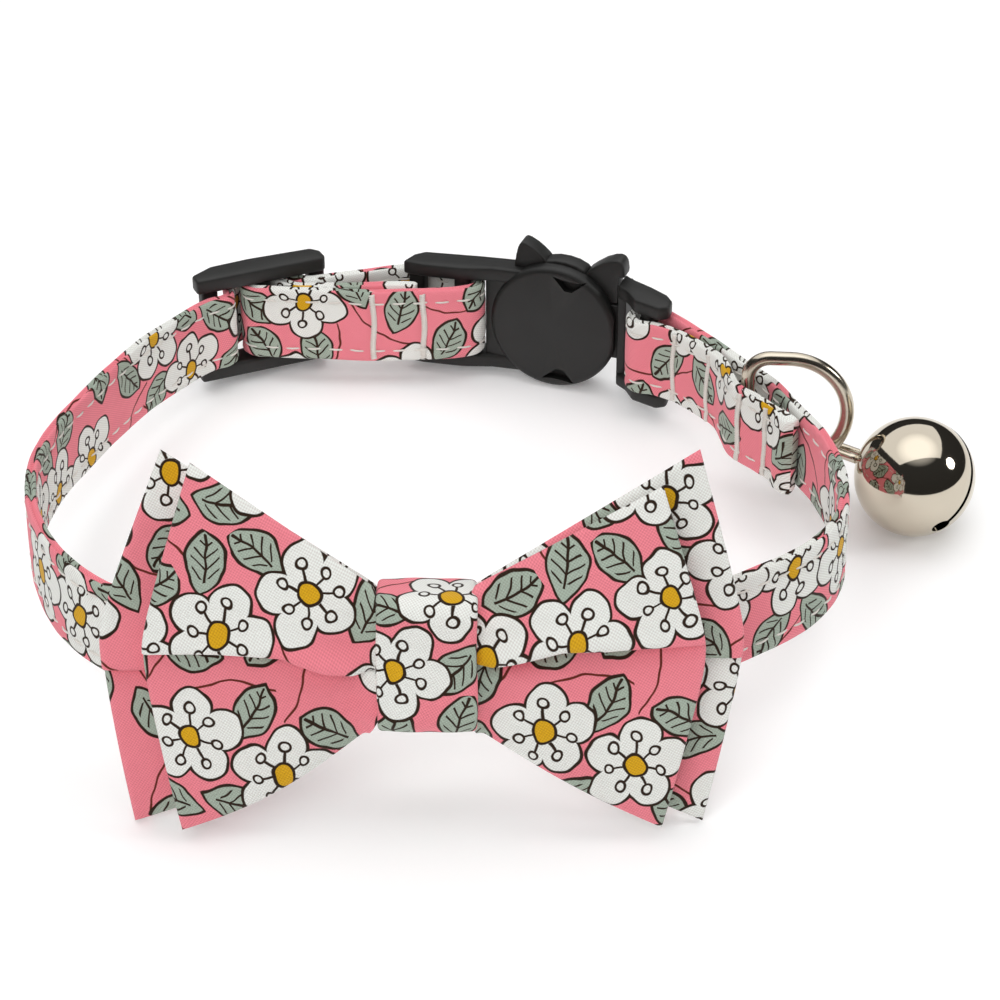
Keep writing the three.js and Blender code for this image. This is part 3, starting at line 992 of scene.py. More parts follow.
@dataclass
class LoopFrame:
    """Takes points from the collar's loop frame, in millimetres, to the row frame, in metres."""

    tilt: float = 4.94
    shift: np.ndarray = field(default_factory=partial(np.zeros, 3))

    def turned(self, points: np.ndarray) -> np.ndarray:
        """The points after the loop is tipped back, still in millimetres.

        Args:
            points: The points in the loop frame.

        Returns:
            The turned points.
        """
        angle = math.radians(self.tilt)
        c, s = math.cos(angle), math.sin(angle)
        return np.asarray(points, float) @ np.array([[1, 0, 0], [0, c, s], [0, -s, c]]).T

    def match(self, points: np.ndarray, node: str) -> None:
        """Finds the shift that lays a node's own corner points on its packed box.

        Args:
            points: The node's points in the loop frame.
            node: Its name.
        """
        low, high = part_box(node)
        turned = self.turned(points)
        middle = (turned.min(0) + turned.max(0)) / 2
        self.shift = (np.array(low) + np.array(high)) / 2 / MM - middle

    def row(self, points: np.ndarray) -> np.ndarray:
        """The points in the row frame, in millimetres."""
        return self.turned(points) + self.shift

    def matrix(self, place: Matrix) -> Matrix:
        """A piece's own placement in the loop, in millimetres, taken to the row frame in metres.

        Args:
            place: The piece's placement in the loop frame.

        Returns:
            The placement of a mesh that is in metres.
        """
        turn = Matrix.Rotation(-math.radians(self.tilt), 4, "X")
        whole = Matrix.Translation(Vector(self.shift)) @ turn @ place
        whole.translation *= MM
        return whole


@dataclass(frozen=True)
class Stand:
    """Where a piece stands in the loop, and how far it is turned about the upright, in degrees."""

    x: float
    y: float
    z: float
    yaw: float

    def plan(self, along: float, away: float) -> Plan:
        """The plan of a point beside the piece, along it and away from the neck."""
        c, s = math.cos(math.radians(self.yaw)), math.sin(math.radians(self.yaw))
        return self.x + along * c - away * s, self.y + along * s + away * c

    def matrix(self) -> Matrix:
        """The piece's placement in the loop."""
        return Matrix.Translation((self.x, self.y, self.z)) @ Matrix.Rotation(math.radians(self.yaw), 4, "Z")


ADJUSTER_STAND = Stand(-24.2, 41.2, 0.0, 25.0)


@dataclass
class Workshop:
    """Makes the collar's pieces, all of which ride on its one body, and reports each one."""

    frame: LoopFrame

    def placed(self, name: str, mesh: bpy.types.Mesh, place: Matrix, finish: bpy.types.Material,
               stands_for: Sequence[str] = ()) -> bpy.types.Object:
        """Adds one piece from a mesh that is in metres.

        Args:
            name: The piece's name.
            mesh: Its mesh.
            place: Where the mesh goes in the row frame.
            finish: Its material.
            stands_for: The CAD nodes that it replaces.

        Returns:
            The object.
        """
        mesh.name = name
        mesh.transform(place)
        mesh.materials.clear()
        mesh.materials.append(finish)
        piece = bpy.data.objects.new(name, mesh)
        bpy.context.scene.collection.objects.link(piece)
        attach(piece, BODY)
        if stands_for:
            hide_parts(*stands_for)
        LOG.info("%s: %d faces", piece.name, len(mesh.polygons))
        return piece

    def shaped(self, name: str, shape: Shape, finish: bpy.types.Material,
               stands_for: Sequence[str] = ()) -> bpy.types.Object:
        """Adds one piece from a surface in the loop frame, as placed does from a mesh."""
        moved = Shape(self.frame.row(shape.points), shape.faces, shape.cloth)
        return self.placed(name, moved.mesh(name), Matrix(), finish, stands_for)


@dataclass
class Route:
    """The strap's middle line in plan, as one smooth curve with its directions."""

    corners: Sequence[Plan]
    step: float = 0.45
    lean: float = 12.0
    lean_from: float = 8.0
    lean_to: float = 36.0

    def __post_init__(self) -> None:
        """Spaces the curve's stations evenly and works out their directions."""
        fine = self.curve(60)
        run = run_along(fine)
        self.length = float(run[-1])
        self.at = np.linspace(0, self.length, int(self.length / self.step) + 1)
        self.plan = np.stack([np.interp(self.at, run, fine[:, k]) for k in range(2)], axis=1)
        ahead = unit(np.gradient(self.plan, self.at, axis=0))
        self.out = np.stack([ahead[:, 1], -ahead[:, 0], np.zeros(len(ahead))], axis=1)
        angle = np.radians(self.lean) * smooth(-self.plan[:, 1], self.lean_from, self.lean_to)
        self.rise = np.stack([np.zeros(len(angle)), np.sin(angle), np.cos(angle)], axis=1)

    def curve(self, fine: int) -> np.ndarray:
        """Points along the centripetal Catmull-Rom curve through the corners.

        Args:
            fine: How many points each span gets.

        Returns:
            The points in plan.
        """
        p = np.array(self.corners, float)
        p = np.concatenate([[2 * p[0] - p[1]], p, [2 * p[-1] - p[-2]]])
        gap = np.linalg.norm(np.diff(p, axis=0), axis=1) ** 0.5
        t = (np.arange(fine) / fine)[:, None]
        spans = []
        for i in range(1, len(p) - 2):
            a, b, c = gap[i - 1], gap[i], gap[i + 1]
            m = b * ((p[i] - p[i - 1]) / a - (p[i + 1] - p[i - 1]) / (a + b) + (p[i + 1] - p[i]) / b)
            n = b * ((p[i + 1] - p[i]) / b - (p[i + 2] - p[i]) / (b + c) + (p[i + 2] - p[i + 1]) / c)
            d = p[i] - p[i + 1]
            spans.append(p[i] + m * t + (-3 * d - 2 * m - n) * t**2 + (2 * d + m + n) * t**3)
        return np.concatenate([*spans, p[-2:-1]])

    def read(self, at: np.ndarray, rows: np.ndarray) -> np.ndarray:
        """Reads the stations' rows of numbers between stations."""
        return np.stack([np.interp(at, self.at, rows[:, k]) for k in range(rows.shape[1])], -1)

    def point(self, at: np.ndarray | float, out: np.ndarray | float, up: np.ndarray | float) -> np.ndarray:
        """Points beside the route.

        Args:
            at: How far along.
            out: How far out across the strap's thickness.
            up: How far up its width.

        Returns:
            The points in the loop frame.
        """
        at, out, up = np.broadcast_arrays(np.asarray(at, float), out, up)
        plan = self.read(at, self.plan)
        base = np.concatenate([plan, np.zeros((*plan.shape[:-1], 1))], -1)
        return base + self.read(at, self.out) * out[..., None] + self.read(at, self.rise) * up[..., None]

    def station(self, x: float, y: float, low: float = 0.0) -> float:
        """How far along the route is nearest to a place in plan, at or after low."""
        far = np.linalg.norm(self.plan - (x, y), axis=1) + 1e3 * (self.at < low)
        return float(self.at[far.argmin()])


class Face(Enum):
    """The strap's two faces, as signs of the way out from its middle."""

    OUTER = 1.0
    INNER = -1.0


@dataclass
class Strap:
    """The collar's one long ribbon, with its topstitching and the seams across its sewn ends.

    The section's shares are parts of half the thickness. The press, pucker and ripple are how far the cloth
    moves at a seam, at the topstitches and in between.
    """

    width: float = 10.6
    thick: float = 1.46
    plain_thick: float = 1.5
    stitch_inset: float = 1.75
    stitch_pitch: float = 2.9
    stitch_length: float = 1.8
    stitch_arch: float = 0.2
    stitch_sink: float = 0.08
    thread: float = 0.13
    rolled: float = 0.75
    roll_from: float = 3.6
    roll_to: float = 2.2
    tip: float = 0.8
    seam_pitch: float = 0.17
    seam_half: float = 0.36
    seam_margin: float = 0.45
    press: float = 0.1
    press_half: float = 0.7
    pucker: float = 0.05
    pucker_half: float = 0.9
    ripple: float = 0.035

    def route(self) -> Route:
        """The ribbon's route: the first sewn end, the buckle, the adjuster, the neck, the last sewn end.

        Returns:
            The route.
        """
        adj = ADJUSTER_STAND.plan
        return Route([
            (-3.0, 40.0), (-8.0, 40.0), (-13.0, 40.0),
            adj(6.5, -4.4), adj(4.0, -3.1), adj(2.9, -1.2), adj(2.4, 0.4), adj(1.6, 1.7), adj(0, 2.35),
            adj(-1.65, 1.65), adj(-2.35, 0), adj(-1.6, -1.7), adj(-0.2, -2.4),
            (-20.5, 38.6), (-16.0, 38.25), (-8.0, 38.1), (-1.0, 38.35), (3.1, 39.0),
            (4.8, 39.7), (5.5, 41.3), (4.8, 42.9), (3.1, 43.65),
            (1.2, 44.4), (-0.6, 45.4), (-3.2, 45.75), (-6.4, 45.35), (-9.8, 44.5), (-13.0, 43.6),
            adj(7.9, -2.4), adj(6.3, -2.25), adj(5.05, -1.2), adj(4.55, 0.4), adj(3.9, 2.2),
            adj(2.4, 3.6), adj(0, 4.25), adj(-2.6, 3.5), adj(-4.3, 1.6), adj(-5.15, -1.5),
            adj(-6.4, -2.4), adj(-8.2, -2.6),
            (-33.9, 31.0), (-39.2, 21.6), (-43.2, 12.0), (-46.0, 3.5), (-47.6, -4.5), (-47.6, -11.5),
            (-46.2, -18.8), (-43.2, -26.3), (-39.0, -32.8), (-33.6, -37.2), (-25.0, -40.6),
            (-13.0, -42.3), (0.0, -42.6), (13.0, -41.8), (25.0, -38.8), (35.2, -33.8), (41.4, -29.3),
            (45.4, -24.8), (47.8, -19.8), (48.8, -14.0), (48.8, -7.0), (47.5, -0.5), (44.9, 6.8),
            (42.45, 13.2), (38.4, 19.6), (34.9, 25.2), (31.9, 29.5), (29.6, 32.2),
            (27.9, 32.95), (26.3, 32.4), (25.6, 30.9), (26.3, 29.1),
            (28.6, 28.2), (31.2, 26.5), (33.3, 24.1), (35.1, 21.3), (36.7, 18.3), (37.3, 15.0),
            (38.2, 11.2), (40.6, 8.1), (43.1, 4.5), (44.4, 2.1),
        ])

    def seams(self, route: Route) -> list[float]:
        """How far along the strap the seams across it lie: two by the adjuster, four by the ring.

        Args:
            route: The ribbon's route, whose last run starts after last_run.

        Returns:
            The distances.
        """
        last_run = 330
        first = [route.station(x, y) for x, y in ((-8.9, 38.1), (-2.4, 38.3))]
        places = ((31.3, 26.4), (35.5, 20.6), (38.9, 10.3), (41.9, 6.2))
        return first + [route.station(x, y, last_run) for x, y in places]

    def sway(self, at: np.ndarray) -> np.ndarray:
        """How far up or down the ribbon wanders along its route."""
        return 0.1 * np.sin(at * 0.21 + 1.0) + 0.06 * np.sin(at * 0.53)

    def section(self) -> tuple[np.ndarray, np.ndarray]:
        """The ribbon's outline: folded edges at the bottom, two folds side by side at the top.

        Returns:
            The outline as (out, up) pairs, and the cloth map's place round it.
        """
        top, skin = self.width / 2, self.thick / 2
        stitch = top - self.stitch_inset
        half = [
            (0.0, -top), (0.52, -top + 0.1), (0.85, -top + 0.34), (0.97, -top + 0.8), (0.94, -stitch - 0.5),
            (0.78, -stitch), (0.92, -stitch + 0.5), (1.0, -2.2), (1.0, -0.8), (1.0, 0.8), (1.0, 2.2),
            (0.92, stitch - 0.5), (0.78, stitch), (0.94, stitch + 0.5), (0.97, top - 0.7),
            (0.86, top - 0.25), (0.6, top), (0.3, top - 0.12), (0.0, top - 0.55),
        ]
        outer = [(share * skin, up) for share, up in half]
        inner = [(-out, up) for out, up in reversed(outer[1:-1])]
        outline = np.array(outer + inner)
        return outline, run_along(np.concatenate([outline, outline[:1]]))

    def surface(self, route: Route) -> Shape:
        """The ribbon, a little puckered between its stitches and pressed in at its seams.

        Args:
            route: Its route.

        Returns:
            The surface.
        """
        outline, around = self.section()
        at, out, up = route.at[:, None], outline[None, :, 0], outline[None, :, 1]
        edge = np.exp(-((np.abs(up) - self.width / 2 + self.stitch_inset) / self.pucker_half) ** 2)
        pucker = self.pucker * edge * np.sin(2 * np.pi * at / self.stitch_pitch + 0.6 * np.sin(at * 0.9))
        pucker = pucker + self.ripple * np.sin(at * 0.83 + up * 0.7) * np.sin(at * 0.37 - up * 0.4)
        seams = self.seams(route)
        press = sum(self.press * np.exp(-((at - place) / self.press_half) ** 2) for place in seams)
        full = np.abs(out) / (self.thick / 2)
        ends = np.clip(np.minimum(at, route.length - at) / self.tip, 0, 1)
        close = np.sqrt(1 - (1 - ends) ** 2)
        roll = smooth(at, route.length - self.roll_from, route.length - self.roll_to)
        close = close * (1 + self.rolled * roll)
        rings = route.point(at, (out + np.sign(out) * full * (pucker - press)) * close, up + self.sway(at))
        return wrapped(rings, route.at, around)

    def skin(self, up: float) -> float:
        """How far out the ribbon's face lies at a height.

        Args:
            up: The height.

        Returns:
            The distance.
        """
        outline, _ = self.section()
        half = outline[: len(outline) // 2 + 1]
        return float(np.interp(up, half[:, 1], half[:, 0]))

    def topstitches(self, route: Route) -> Shape:
        """The dashes along both edges, on both faces.

        Args:
            route: The ribbon's route.

        Returns:
            The threads as one surface.
        """
        stitch = self.width / 2 - self.stitch_inset
        share = np.linspace(0, 1, 6)
        arch = np.sin(np.pi * share) * self.stitch_arch - self.stitch_sink
        dashes = []
        for face, first in ((Face.OUTER, 1.2), (Face.INNER, 2.6)):
            for up in (-stitch, stitch):
                start = first
                while start + self.stitch_length < route.length - 1:
                    skew = 0.12 * math.sin(start * 1.7 + up)
                    at = start + share * self.stitch_length
                    out = face.value * (self.skin(up) + arch)
                    path = route.point(at, out, up + self.sway(at) + skew * (share - 0.5))
                    dashes.append(tube(path, self.thread))
                    start += self.stitch_pitch
        return Shape.joined(dashes)

    def cross_seams(self, route: Route) -> Shape:
        """The dense zigzag seams across the sewn ends, on the outer face.

        Args:
            route: The ribbon's route.

        Returns:
            The threads as one surface.
        """
        legs = []
        reach = self.width / 2 - self.seam_margin
        share = np.linspace(0, 1, 4)
        for place in self.seams(route):
            for i, up in enumerate(np.arange(-reach, reach, self.seam_pitch)):
                swing = self.seam_half * (2 * share - 1) * (1 if i % 2 == 0 else -1)
                wander = 0.12 * math.sin(up * 0.8 + place)
                out = Face.OUTER.value * (self.skin(up) + 0.1 * np.sin(np.pi * share) - 0.03)
                path = route.point(place + swing + wander, out, up + share * self.seam_pitch)
                legs.append(tube(path, self.thread, 5))
        return Shape.joined(legs)

    def corner_points(self, route: Route) -> np.ndarray:
        """The plain ribbon's corners, which the CAD model's box is fitted to.

        Args:
            route: The ribbon's route.

        Returns:
            The points.
        """
        out, up = self.plain_thick / 2, self.width / 2
        sides = [(side * out, end * up) for side in (-1, 1) for end in (-1, 1)]
        return np.concatenate([route.point(route.at, *side) for side in sides])

    def build(self, shop: Workshop) -> None:
        """Lays the loop frame on the CAD model and makes the ribbon and its threads.

        Args:
            shop: The workshop.
        """
        route = self.route()
        shop.frame.match(self.corner_points(route), "collar_strap")
        finish = ClothFinish("strap_cloth", 24.0, (3.0, 6.5)).material()
        ribbon = shop.shaped("strap_ribbon", self.surface(route), finish, ["collar_strap"])
        thread = ThreadFinish("white_thread", 5200.0).material()
        stitches = shop.shaped("strap_topstitches", self.topstitches(route), thread)
        seams = shop.shaped("strap_cross_seams", self.cross_seams(route), thread)


def fine_steps(edge: Sequence[float], middle: Sequence[float], count: int) -> np.ndarray:
    """Steps from -1 to 1 that are close together at both ends and at 0.

    Args:
        edge: Extra steps, as distances from both ends.
        middle: Extra steps, as distances from 0.
        count: How many even steps there are as well.

    Returns:
        The steps in order, without those that crowd the one before.
    """
    least = 0.0022
    extra = [sign * step for step in (*(1 - e for e in edge), *middle) for sign in (-1, 1)]
    steps = np.unique(np.round(np.concatenate([np.linspace(-1, 1, count), extra]), 5))
    keep = [steps[0]]
    for step in steps[1:]:
        if step - keep[-1] > least:
            keep.append(step)
    keep[-1] = 1.0
    return np.array(keep)


@dataclass(frozen=True)
class BowFrame:
    """Where the bow stands on the strap: its lean back and its place in the loop frame."""

    front: float = -42.6
    lean: float = 12.0

    def loop(self, points: np.ndarray) -> np.ndarray:
        """Takes points to the loop frame.

        Args:
            points: Points given as across the bow, up its face and out of it.

        Returns:
            The points in the loop frame.
        """
        c, s = math.cos(math.radians(self.lean)), math.sin(math.radians(self.lean))
        across, up, out = points[..., 0], points[..., 1], points[..., 2]
        return np.stack([across, self.front + up * s - out * c, up * c + out * s], -1)


@dataclass(frozen=True)
class Crease:
    """The fold across one wing: where it runs up the wing, how deep it is, and how much cloth it hides."""

    reach: tuple[float, ...]
    place: tuple[float, ...]
    lip: tuple[float, ...]
    pocket: tuple[float, ...]
    hidden: float

    def at(self, reach: np.ndarray, what: str) -> np.ndarray:
        """One of its values, by name, at distances out from the bow's middle."""
        value = getattr(self, what)
        return np.interp(reach, self.reach, value) if isinstance(value, tuple) else value + 0 * reach


@dataclass(frozen=True)
class BowLayer:
    """One gathered layer of the bow: a doubled cloth that opens from the knot into two wings.

    A pair of numbers is for the left wing and the right one. top, bottom and middle are how far the wings
    reach out at their corners and between them, and upper and lower how far their corners reach up and down.
    """

    name: str
    top: tuple[float, float]
    bottom: tuple[float, float]
    middle: tuple[float, float]
    core: float
    core_depth: float
    base: float
    puff: float
    left: Crease
    right: Crease
    wall: float = 1.15
    upper: tuple[float, float] = (21.6, 21.6)
    lower: tuple[float, float] = (21.6, 21.6)
    waist: float = 5.7
    flare: float = 1.9
    fan_from: float = 7.2
    side_round: float = 0.14
    rim: float = 0.9
    bulge: tuple[float, float] = (1.5, 0.7)
    knot_width: float = 14.0

    def grid(self) -> tuple[np.ndarray, np.ndarray, np.ndarray]:
        """The layer's middle surface.

        Returns:
            Points, half the thickness at each, and the cloth map's place, each as columns by rows.
        """
        edge = (0.004, 0.01, 0.018, 0.028)
        waist = np.linspace(0.16, 0.28, 9)
        fold = (0.005, 0.011, 0.018, 0.026, 0.036, 0.05, 0.066, 0.085, 0.11)
        across = fine_steps(edge, waist, 121)[:, None]
        rows = fine_steps(edge, fold, 71)[None, :]
        left, size = across < 0, np.abs(across)
        middle = np.where(left, *self.middle)
        reach = size * middle
        spread = np.clip((reach - self.fan_from) / (middle - self.fan_from), 0, 1)
        creased = self.read(left, reach, "place")
        up = rows + creased * (1 - rows**2) ** 1.5
        corner = np.where(up > 0, np.where(left, *self.top), np.where(left, *self.bottom))
        bend = self.side_round
        lean = (np.hypot(up, bend) - bend) / (math.hypot(1, bend) - bend)
        x = np.sign(across) * size * (middle - (middle - corner) * lean)
        opened = smooth(reach, 5.0, 7.8) + 0 * up
        waist_half = self.waist + self.flare * smooth(reach, 4.6, 6.9)
        tall = np.where(up > 0, np.where(left, *self.upper), np.where(left, *self.lower))
        height = waist_half + (tall - waist_half) * spread
        away = (up - creased) * height
        lift, hang = self.fold(left, reach, spread, opened, away)
        lift = self.dome(up, spread, opened, left) + lift
        hang = hang * np.clip(np.clip(1 - np.abs(rows), 0, 1) / 0.2, 0, 1)
        sag = np.where(left, *self.bulge) * np.sin(np.pi * spread) * np.where(up < 0, up**2, 0)
        straight = 3.2 + 0.8 * spread + up * height
        depth = self.core_depth + (self.wall - self.core_depth) * opened
        flat = self.base + (self.core - self.base) * (1 - opened)
        ends = np.clip((1 - size) * middle / self.rim, 0, 1)
        tips = np.clip((1 - np.abs(rows)) * height / self.rim, 0, 1)
        round_off = np.sqrt(1 - (1 - ends) ** 2) * np.sqrt(1 - (1 - tips) ** 2)
        cloth = np.stack([x, straight + self.read(left, reach, "hidden") * np.tanh(away / 0.15)], -1)
        return np.stack([x, straight + hang - sag, flat + lift], -1), depth / 2 * round_off, cloth

    def read(self, left: np.ndarray, reach: np.ndarray, what: str) -> np.ndarray:
        """One of the two creases' values, by name, along the wings."""
        return np.where(left, self.left.at(reach, what), self.right.at(reach, what))

    def fold(self, left: np.ndarray, reach: np.ndarray, spread: np.ndarray, opened: np.ndarray,
             away: np.ndarray) -> tuple[np.ndarray, np.ndarray]:
        """The fold across each wing: a rolled lip that hangs over a pocket.

        Args:
            left: True on the left wing.
            reach: How far out from the middle.
            spread: The same from 0 to 1.
            opened: 0 under the knot and 1 outside it.
            away: How far up from the crease.

        Returns:
            How far the cloth stands out, and how far it is moved up.
        """
        lip = self.read(left, reach, "lip") * opened
        pocket = self.read(left, reach, "pocket") * opened
        over, under = np.clip(away, 0, None), np.clip(-away, 0, None)
        rolled = np.sqrt(np.clip(1 - (1 - np.clip(over / 1.1, 0, 1)) ** 2, 0, 1))
        step = 0.5 - 0.5 * np.tanh(away / 0.12)
        lift = lip * rolled * np.exp(-over / (2.5 + 7 * spread)) * (1 - step)
        lift = lift - pocket * np.exp(-under / (1.4 + 4 * spread)) * step
        hang = -0.55 * lip * np.exp(-over / 1.3) * (1 - step) + 0.3 * pocket * np.exp(-under / 1.0) * step
        return lift, hang

    def dome(self, up: np.ndarray, spread: np.ndarray, opened: np.ndarray, left: np.ndarray) -> np.ndarray:
        """How far the wing swells out, with faint pleats that fan out from the knot.

        Args:
            up: The place up the wing, from -1 to 1.
            spread: The place out along it, from 0 to 1.
            opened: 0 under the knot and 1 outside it.
            left: True on the left wing.

        Returns:
            The swelling.
        """
        swell = (1 - np.abs(up) ** 3.5) * self.puff * (1 - 0.55 * spread)
        turn = np.where(left, 0.4, 1.7)
        pleats = 0.28 * np.cos(9.5 * up + turn) + 0.16 * np.cos(17 * up - 2 * turn)
        pleats = pleats * np.exp(-spread / 0.3) * (1 - up**4)
        slow = 0.3 * np.sin(3.1 * up + 4.0 * spread + turn) * spread * (1 - up**2)
        return opened * (swell + pleats + slow)

    def shape(self, place: BowFrame) -> Shape:
        """The layer as a closed surface: its face, its back, and the rounded rim where they meet.

        Args:
            place: The bow's frame.

        Returns:
            The surface in the loop frame.
        """
        back_shift = 17.0
        middle, half, cloth = self.grid()
        columns, rows = half.shape
        out = np.zeros_like(middle)
        out[..., 2] = half
        face, back = place.loop(middle + out), place.loop(middle - out)
        face_index = np.arange(columns * rows).reshape(columns, rows)
        back_index = face_index.copy()
        inner = back_index[1:-1, 1:-1]
        inner[...] = columns * rows + np.arange(inner.size).reshape(inner.shape)
        points = np.concatenate([face.reshape(-1, 3), back[1:-1, 1:-1].reshape(-1, 3)])
        faces, uvs = [], []
        for index, order, shift in ((face_index, 1, 0.0), (back_index, -1, back_shift)):
            for i in range(columns - 1):
                for j in range(rows - 1):
                    corners = [(i, j), (i + 1, j), (i + 1, j + 1), (i, j + 1)][::order]
                    faces.append(tuple(int(index[c]) for c in corners))
                    uvs.extend((float(cloth[c][0]) + shift, float(cloth[c][1])) for c in corners)
        return Shape(points, faces, uvs)

    def cut(self) -> tuple[float, float, float]:
        """The flat cloth, which is waisted under the knot.

        Returns:
            Its height, its width and its area, in metres and square metres.
        """
        high, wide = max(self.upper) + max(self.lower), sum(self.middle)
        waist = 0.6 * high
        area = (wide - self.knot_width) * (high + waist) / 2 + self.knot_width * waist
        return high * MM, wide * MM, area * MM * MM


@dataclass(frozen=True)
class Band:
    """A flat band that runs round in a loop, with soft side edges."""

    name: str
    width: float
    wall: float
    low: float
    high: float
    back: float
    front: float
    corner: tuple[float, float]
    middle: float = 0.0
    crown: float = 0.0
    ribs: float = 0.0
    rib_pitch: float = 0.9
    cloth_shift: Plan = (0.0, 0.0)

    def outline(self) -> np.ndarray:
        """The loop's outer line, with its corners rounded.

        Returns:
            Evenly spaced (up, out) points.
        """
        rear, fore = self.corner
        corners = [(self.low, self.back, rear), (self.low, self.front, fore),
                   (self.high, self.front, fore), (self.high, self.back, rear)]
        points = []
        for up, out, radius in corners:
            sign_up = 1 if up == self.high else -1
            sign_out = 1 if out == self.front else -1
            centre = np.array([up - sign_up * radius, out - sign_out * radius])
            quarter = np.linspace(0, math.pi / 2, 9)
            for turn in quarter if sign_up * sign_out < 0 else quarter[::-1]:
                way = np.array([sign_up * math.cos(turn), sign_out * math.sin(turn)])
                points.append(centre + radius * way)
        points = np.array(points + points[:1])
        run = run_along(points)
        at = np.linspace(0, run[-1], 161)[:-1]
        return np.stack([np.interp(at, run, points[:, k]) for k in range(2)], -1)

    def length(self) -> float:
        """The loop's length."""
        line = self.outline()
        return float(np.linalg.norm(line - np.roll(line, 1, 0), axis=1).sum())

    def section(self) -> np.ndarray:
        """The band's cut, from the outer face round to the inner one.

        Returns:
            The cut as (across, depth) pairs.
        """
        half, wall = self.width / 2, self.wall
        rim = [(half, 0.5), (half - 0.06, 0.28), (half - 0.2, 0.1), (half - 0.45, 0.0)]
        face = [(x, 0.0) for x in np.linspace(half - 0.8, -half + 0.8, 31)]
        outer = [*rim, *face, *[(-x, d) for x, d in reversed(rim)]]
        inner = [(x, 1.0 - d if d < 0.5 else 0.5) for x, d in reversed(outer[1:-1])]
        return np.array([(x, -d * wall) for x, d in [*outer, *inner]])

    def shape(self, place: BowFrame) -> Shape:
        """The band as a closed ring.

        Args:
            place: The bow's frame.

        Returns:
            The surface in the loop frame.
        """
        line, section = self.outline(), self.section()
        ahead = unit(np.roll(line, -1, 0) - np.roll(line, 1, 0))
        out = np.stack([ahead[:, 1], -ahead[:, 0]], -1)
        out *= np.sign(((line - line.mean(0)) * out).sum(1))[:, None]
        at = np.arange(len(line) + 1) * (self.length() / len(line))
        run = at[:-1, None]
        across, depth = section[None, :, 0], section[None, :, 1]
        outward = depth + self.crown * (1 - (2 * across / self.width) ** 2)
        outward = outward + self.ribs * np.cos(2 * np.pi * across / self.rib_pitch) * (depth > -0.01)
        soft = 0.07 * np.sin(run * 0.9 + across * 0.5) * np.cos(run * 0.37 - across * 0.8)
        outward = outward + soft * (self.crown > 0)
        sway = 1 + 0.012 * np.sin(run * 0.55 + np.sign(across))
        points = np.stack([
            across * sway + self.middle + 0 * run,
            line[:, 0][:, None] + out[:, 0][:, None] * outward,
            line[:, 1][:, None] + out[:, 1][:, None] * outward,
        ], -1)
        around = run_along(np.concatenate([section, section[:1]]))
        shape = wrapped(place.loop(points), at, around, closed=True)
        shape.cloth = [(v + self.cloth_shift[0], u + self.cloth_shift[1]) for u, v in shape.cloth]
        return shape


@dataclass
class Bow:
    """The double bow with its knot and the elastic that holds it on the strap."""

    place: BowFrame = BowFrame()
    back: BowLayer = BowLayer(
        "bow_back_cloth", top=(27.6, 29.3), bottom=(32.2, 30.6), middle=(35.0, 34.5), core=5.25,
        core_depth=2.3, base=3.25, puff=1.3,
        left=Crease((6, 12, 34), (-0.15, -0.15, -0.14), (0.3, 0.5, 0.7), (0.3, 0.5, 0.6), 0.6),
        right=Crease((6, 12, 34), (-0.1, -0.08, -0.08), (0.3, 0.3, 0.4), (0.3, 0.3, 0.3), 0.4),
    )
    face: BowLayer = BowLayer(
        "bow_front_cloth", top=(24.2, 25.3), bottom=(26.6, 25.9), middle=(30.0, 30.2), core=8.15,
        core_depth=2.7, base=6.4, puff=1.9, upper=(21.2, 18.6), lower=(21.2, 20.9), flare=2.9,
        left=Crease((6, 10.3, 15, 22, 30), (-0.04, -0.02, 0.09, 0.06, 0.01),
                    (1.4, 1.7, 1.5, 1.1, 0.8), (1.4, 1.5, 1.4, 1.0, 0.7), 2.2),
        right=Crease((6, 10, 15, 19.5, 25, 30), (0.05, 0.12, 0.18, 0.12, 0.08, 0.065),
                     (1.7, 2.2, 2.1, 1.6, 0.9, 0.5), (1.9, 2.4, 2.3, 1.5, 1.0, 0.6), 2.8),
    )
    knot: Band = Band(
        "bow_knot_cloth", width=10.7, wall=1.0, low=-4.2, high=11.1, back=2.5, front=10.9, corner=(1.5, 2.2),
        middle=0.45, crown=0.15, cloth_shift=(3.0, 12.0),
    )
    elastic: Band = Band(
        "bow_elastic_band", width=10.2, wall=0.9, low=-6.6, high=6.6, back=-2.2, front=2.2, corner=(0.8, 0.8),
        ribs=0.06,
    )

    def build(self, shop: Workshop) -> None:
        """Makes the bow's four pieces.

        Args:
            shop: The workshop.
        """
        finishes = [ClothFinish(name, turn, shift).material() for name, turn, shift in (
            ("bow_front_print", 0.0, (9.0, 3.0)), ("bow_back_print", 200.0, (11.0, 20.0)),
            ("knot_print", 35.0, (0.0, 0.0)),
        )]
        layers = ((self.back, finishes[1], "bow_back"), (self.face, finishes[0], "bow_front"))
        for layer, finish, node in layers:
            sheet = shop.shaped(layer.name, layer.shape(self.place), finish, [node])
            high, wide, area = layer.cut()
        knit = ThreadFinish("white_elastic", 3800.0).material()
        for band, finish, slot, node, held, under in (
            (self.knot, finishes[2], Slot.CLOTH, "bow_knot", "folded", "bow_front"),
            (self.elastic, knit, Slot.ELASTIC, "bow_elastic", "stretched", "collar_strap"),
        ):
            sheet = shop.shaped(band.name, band.shape(self.place), finish, [node])
            band.length() * MM


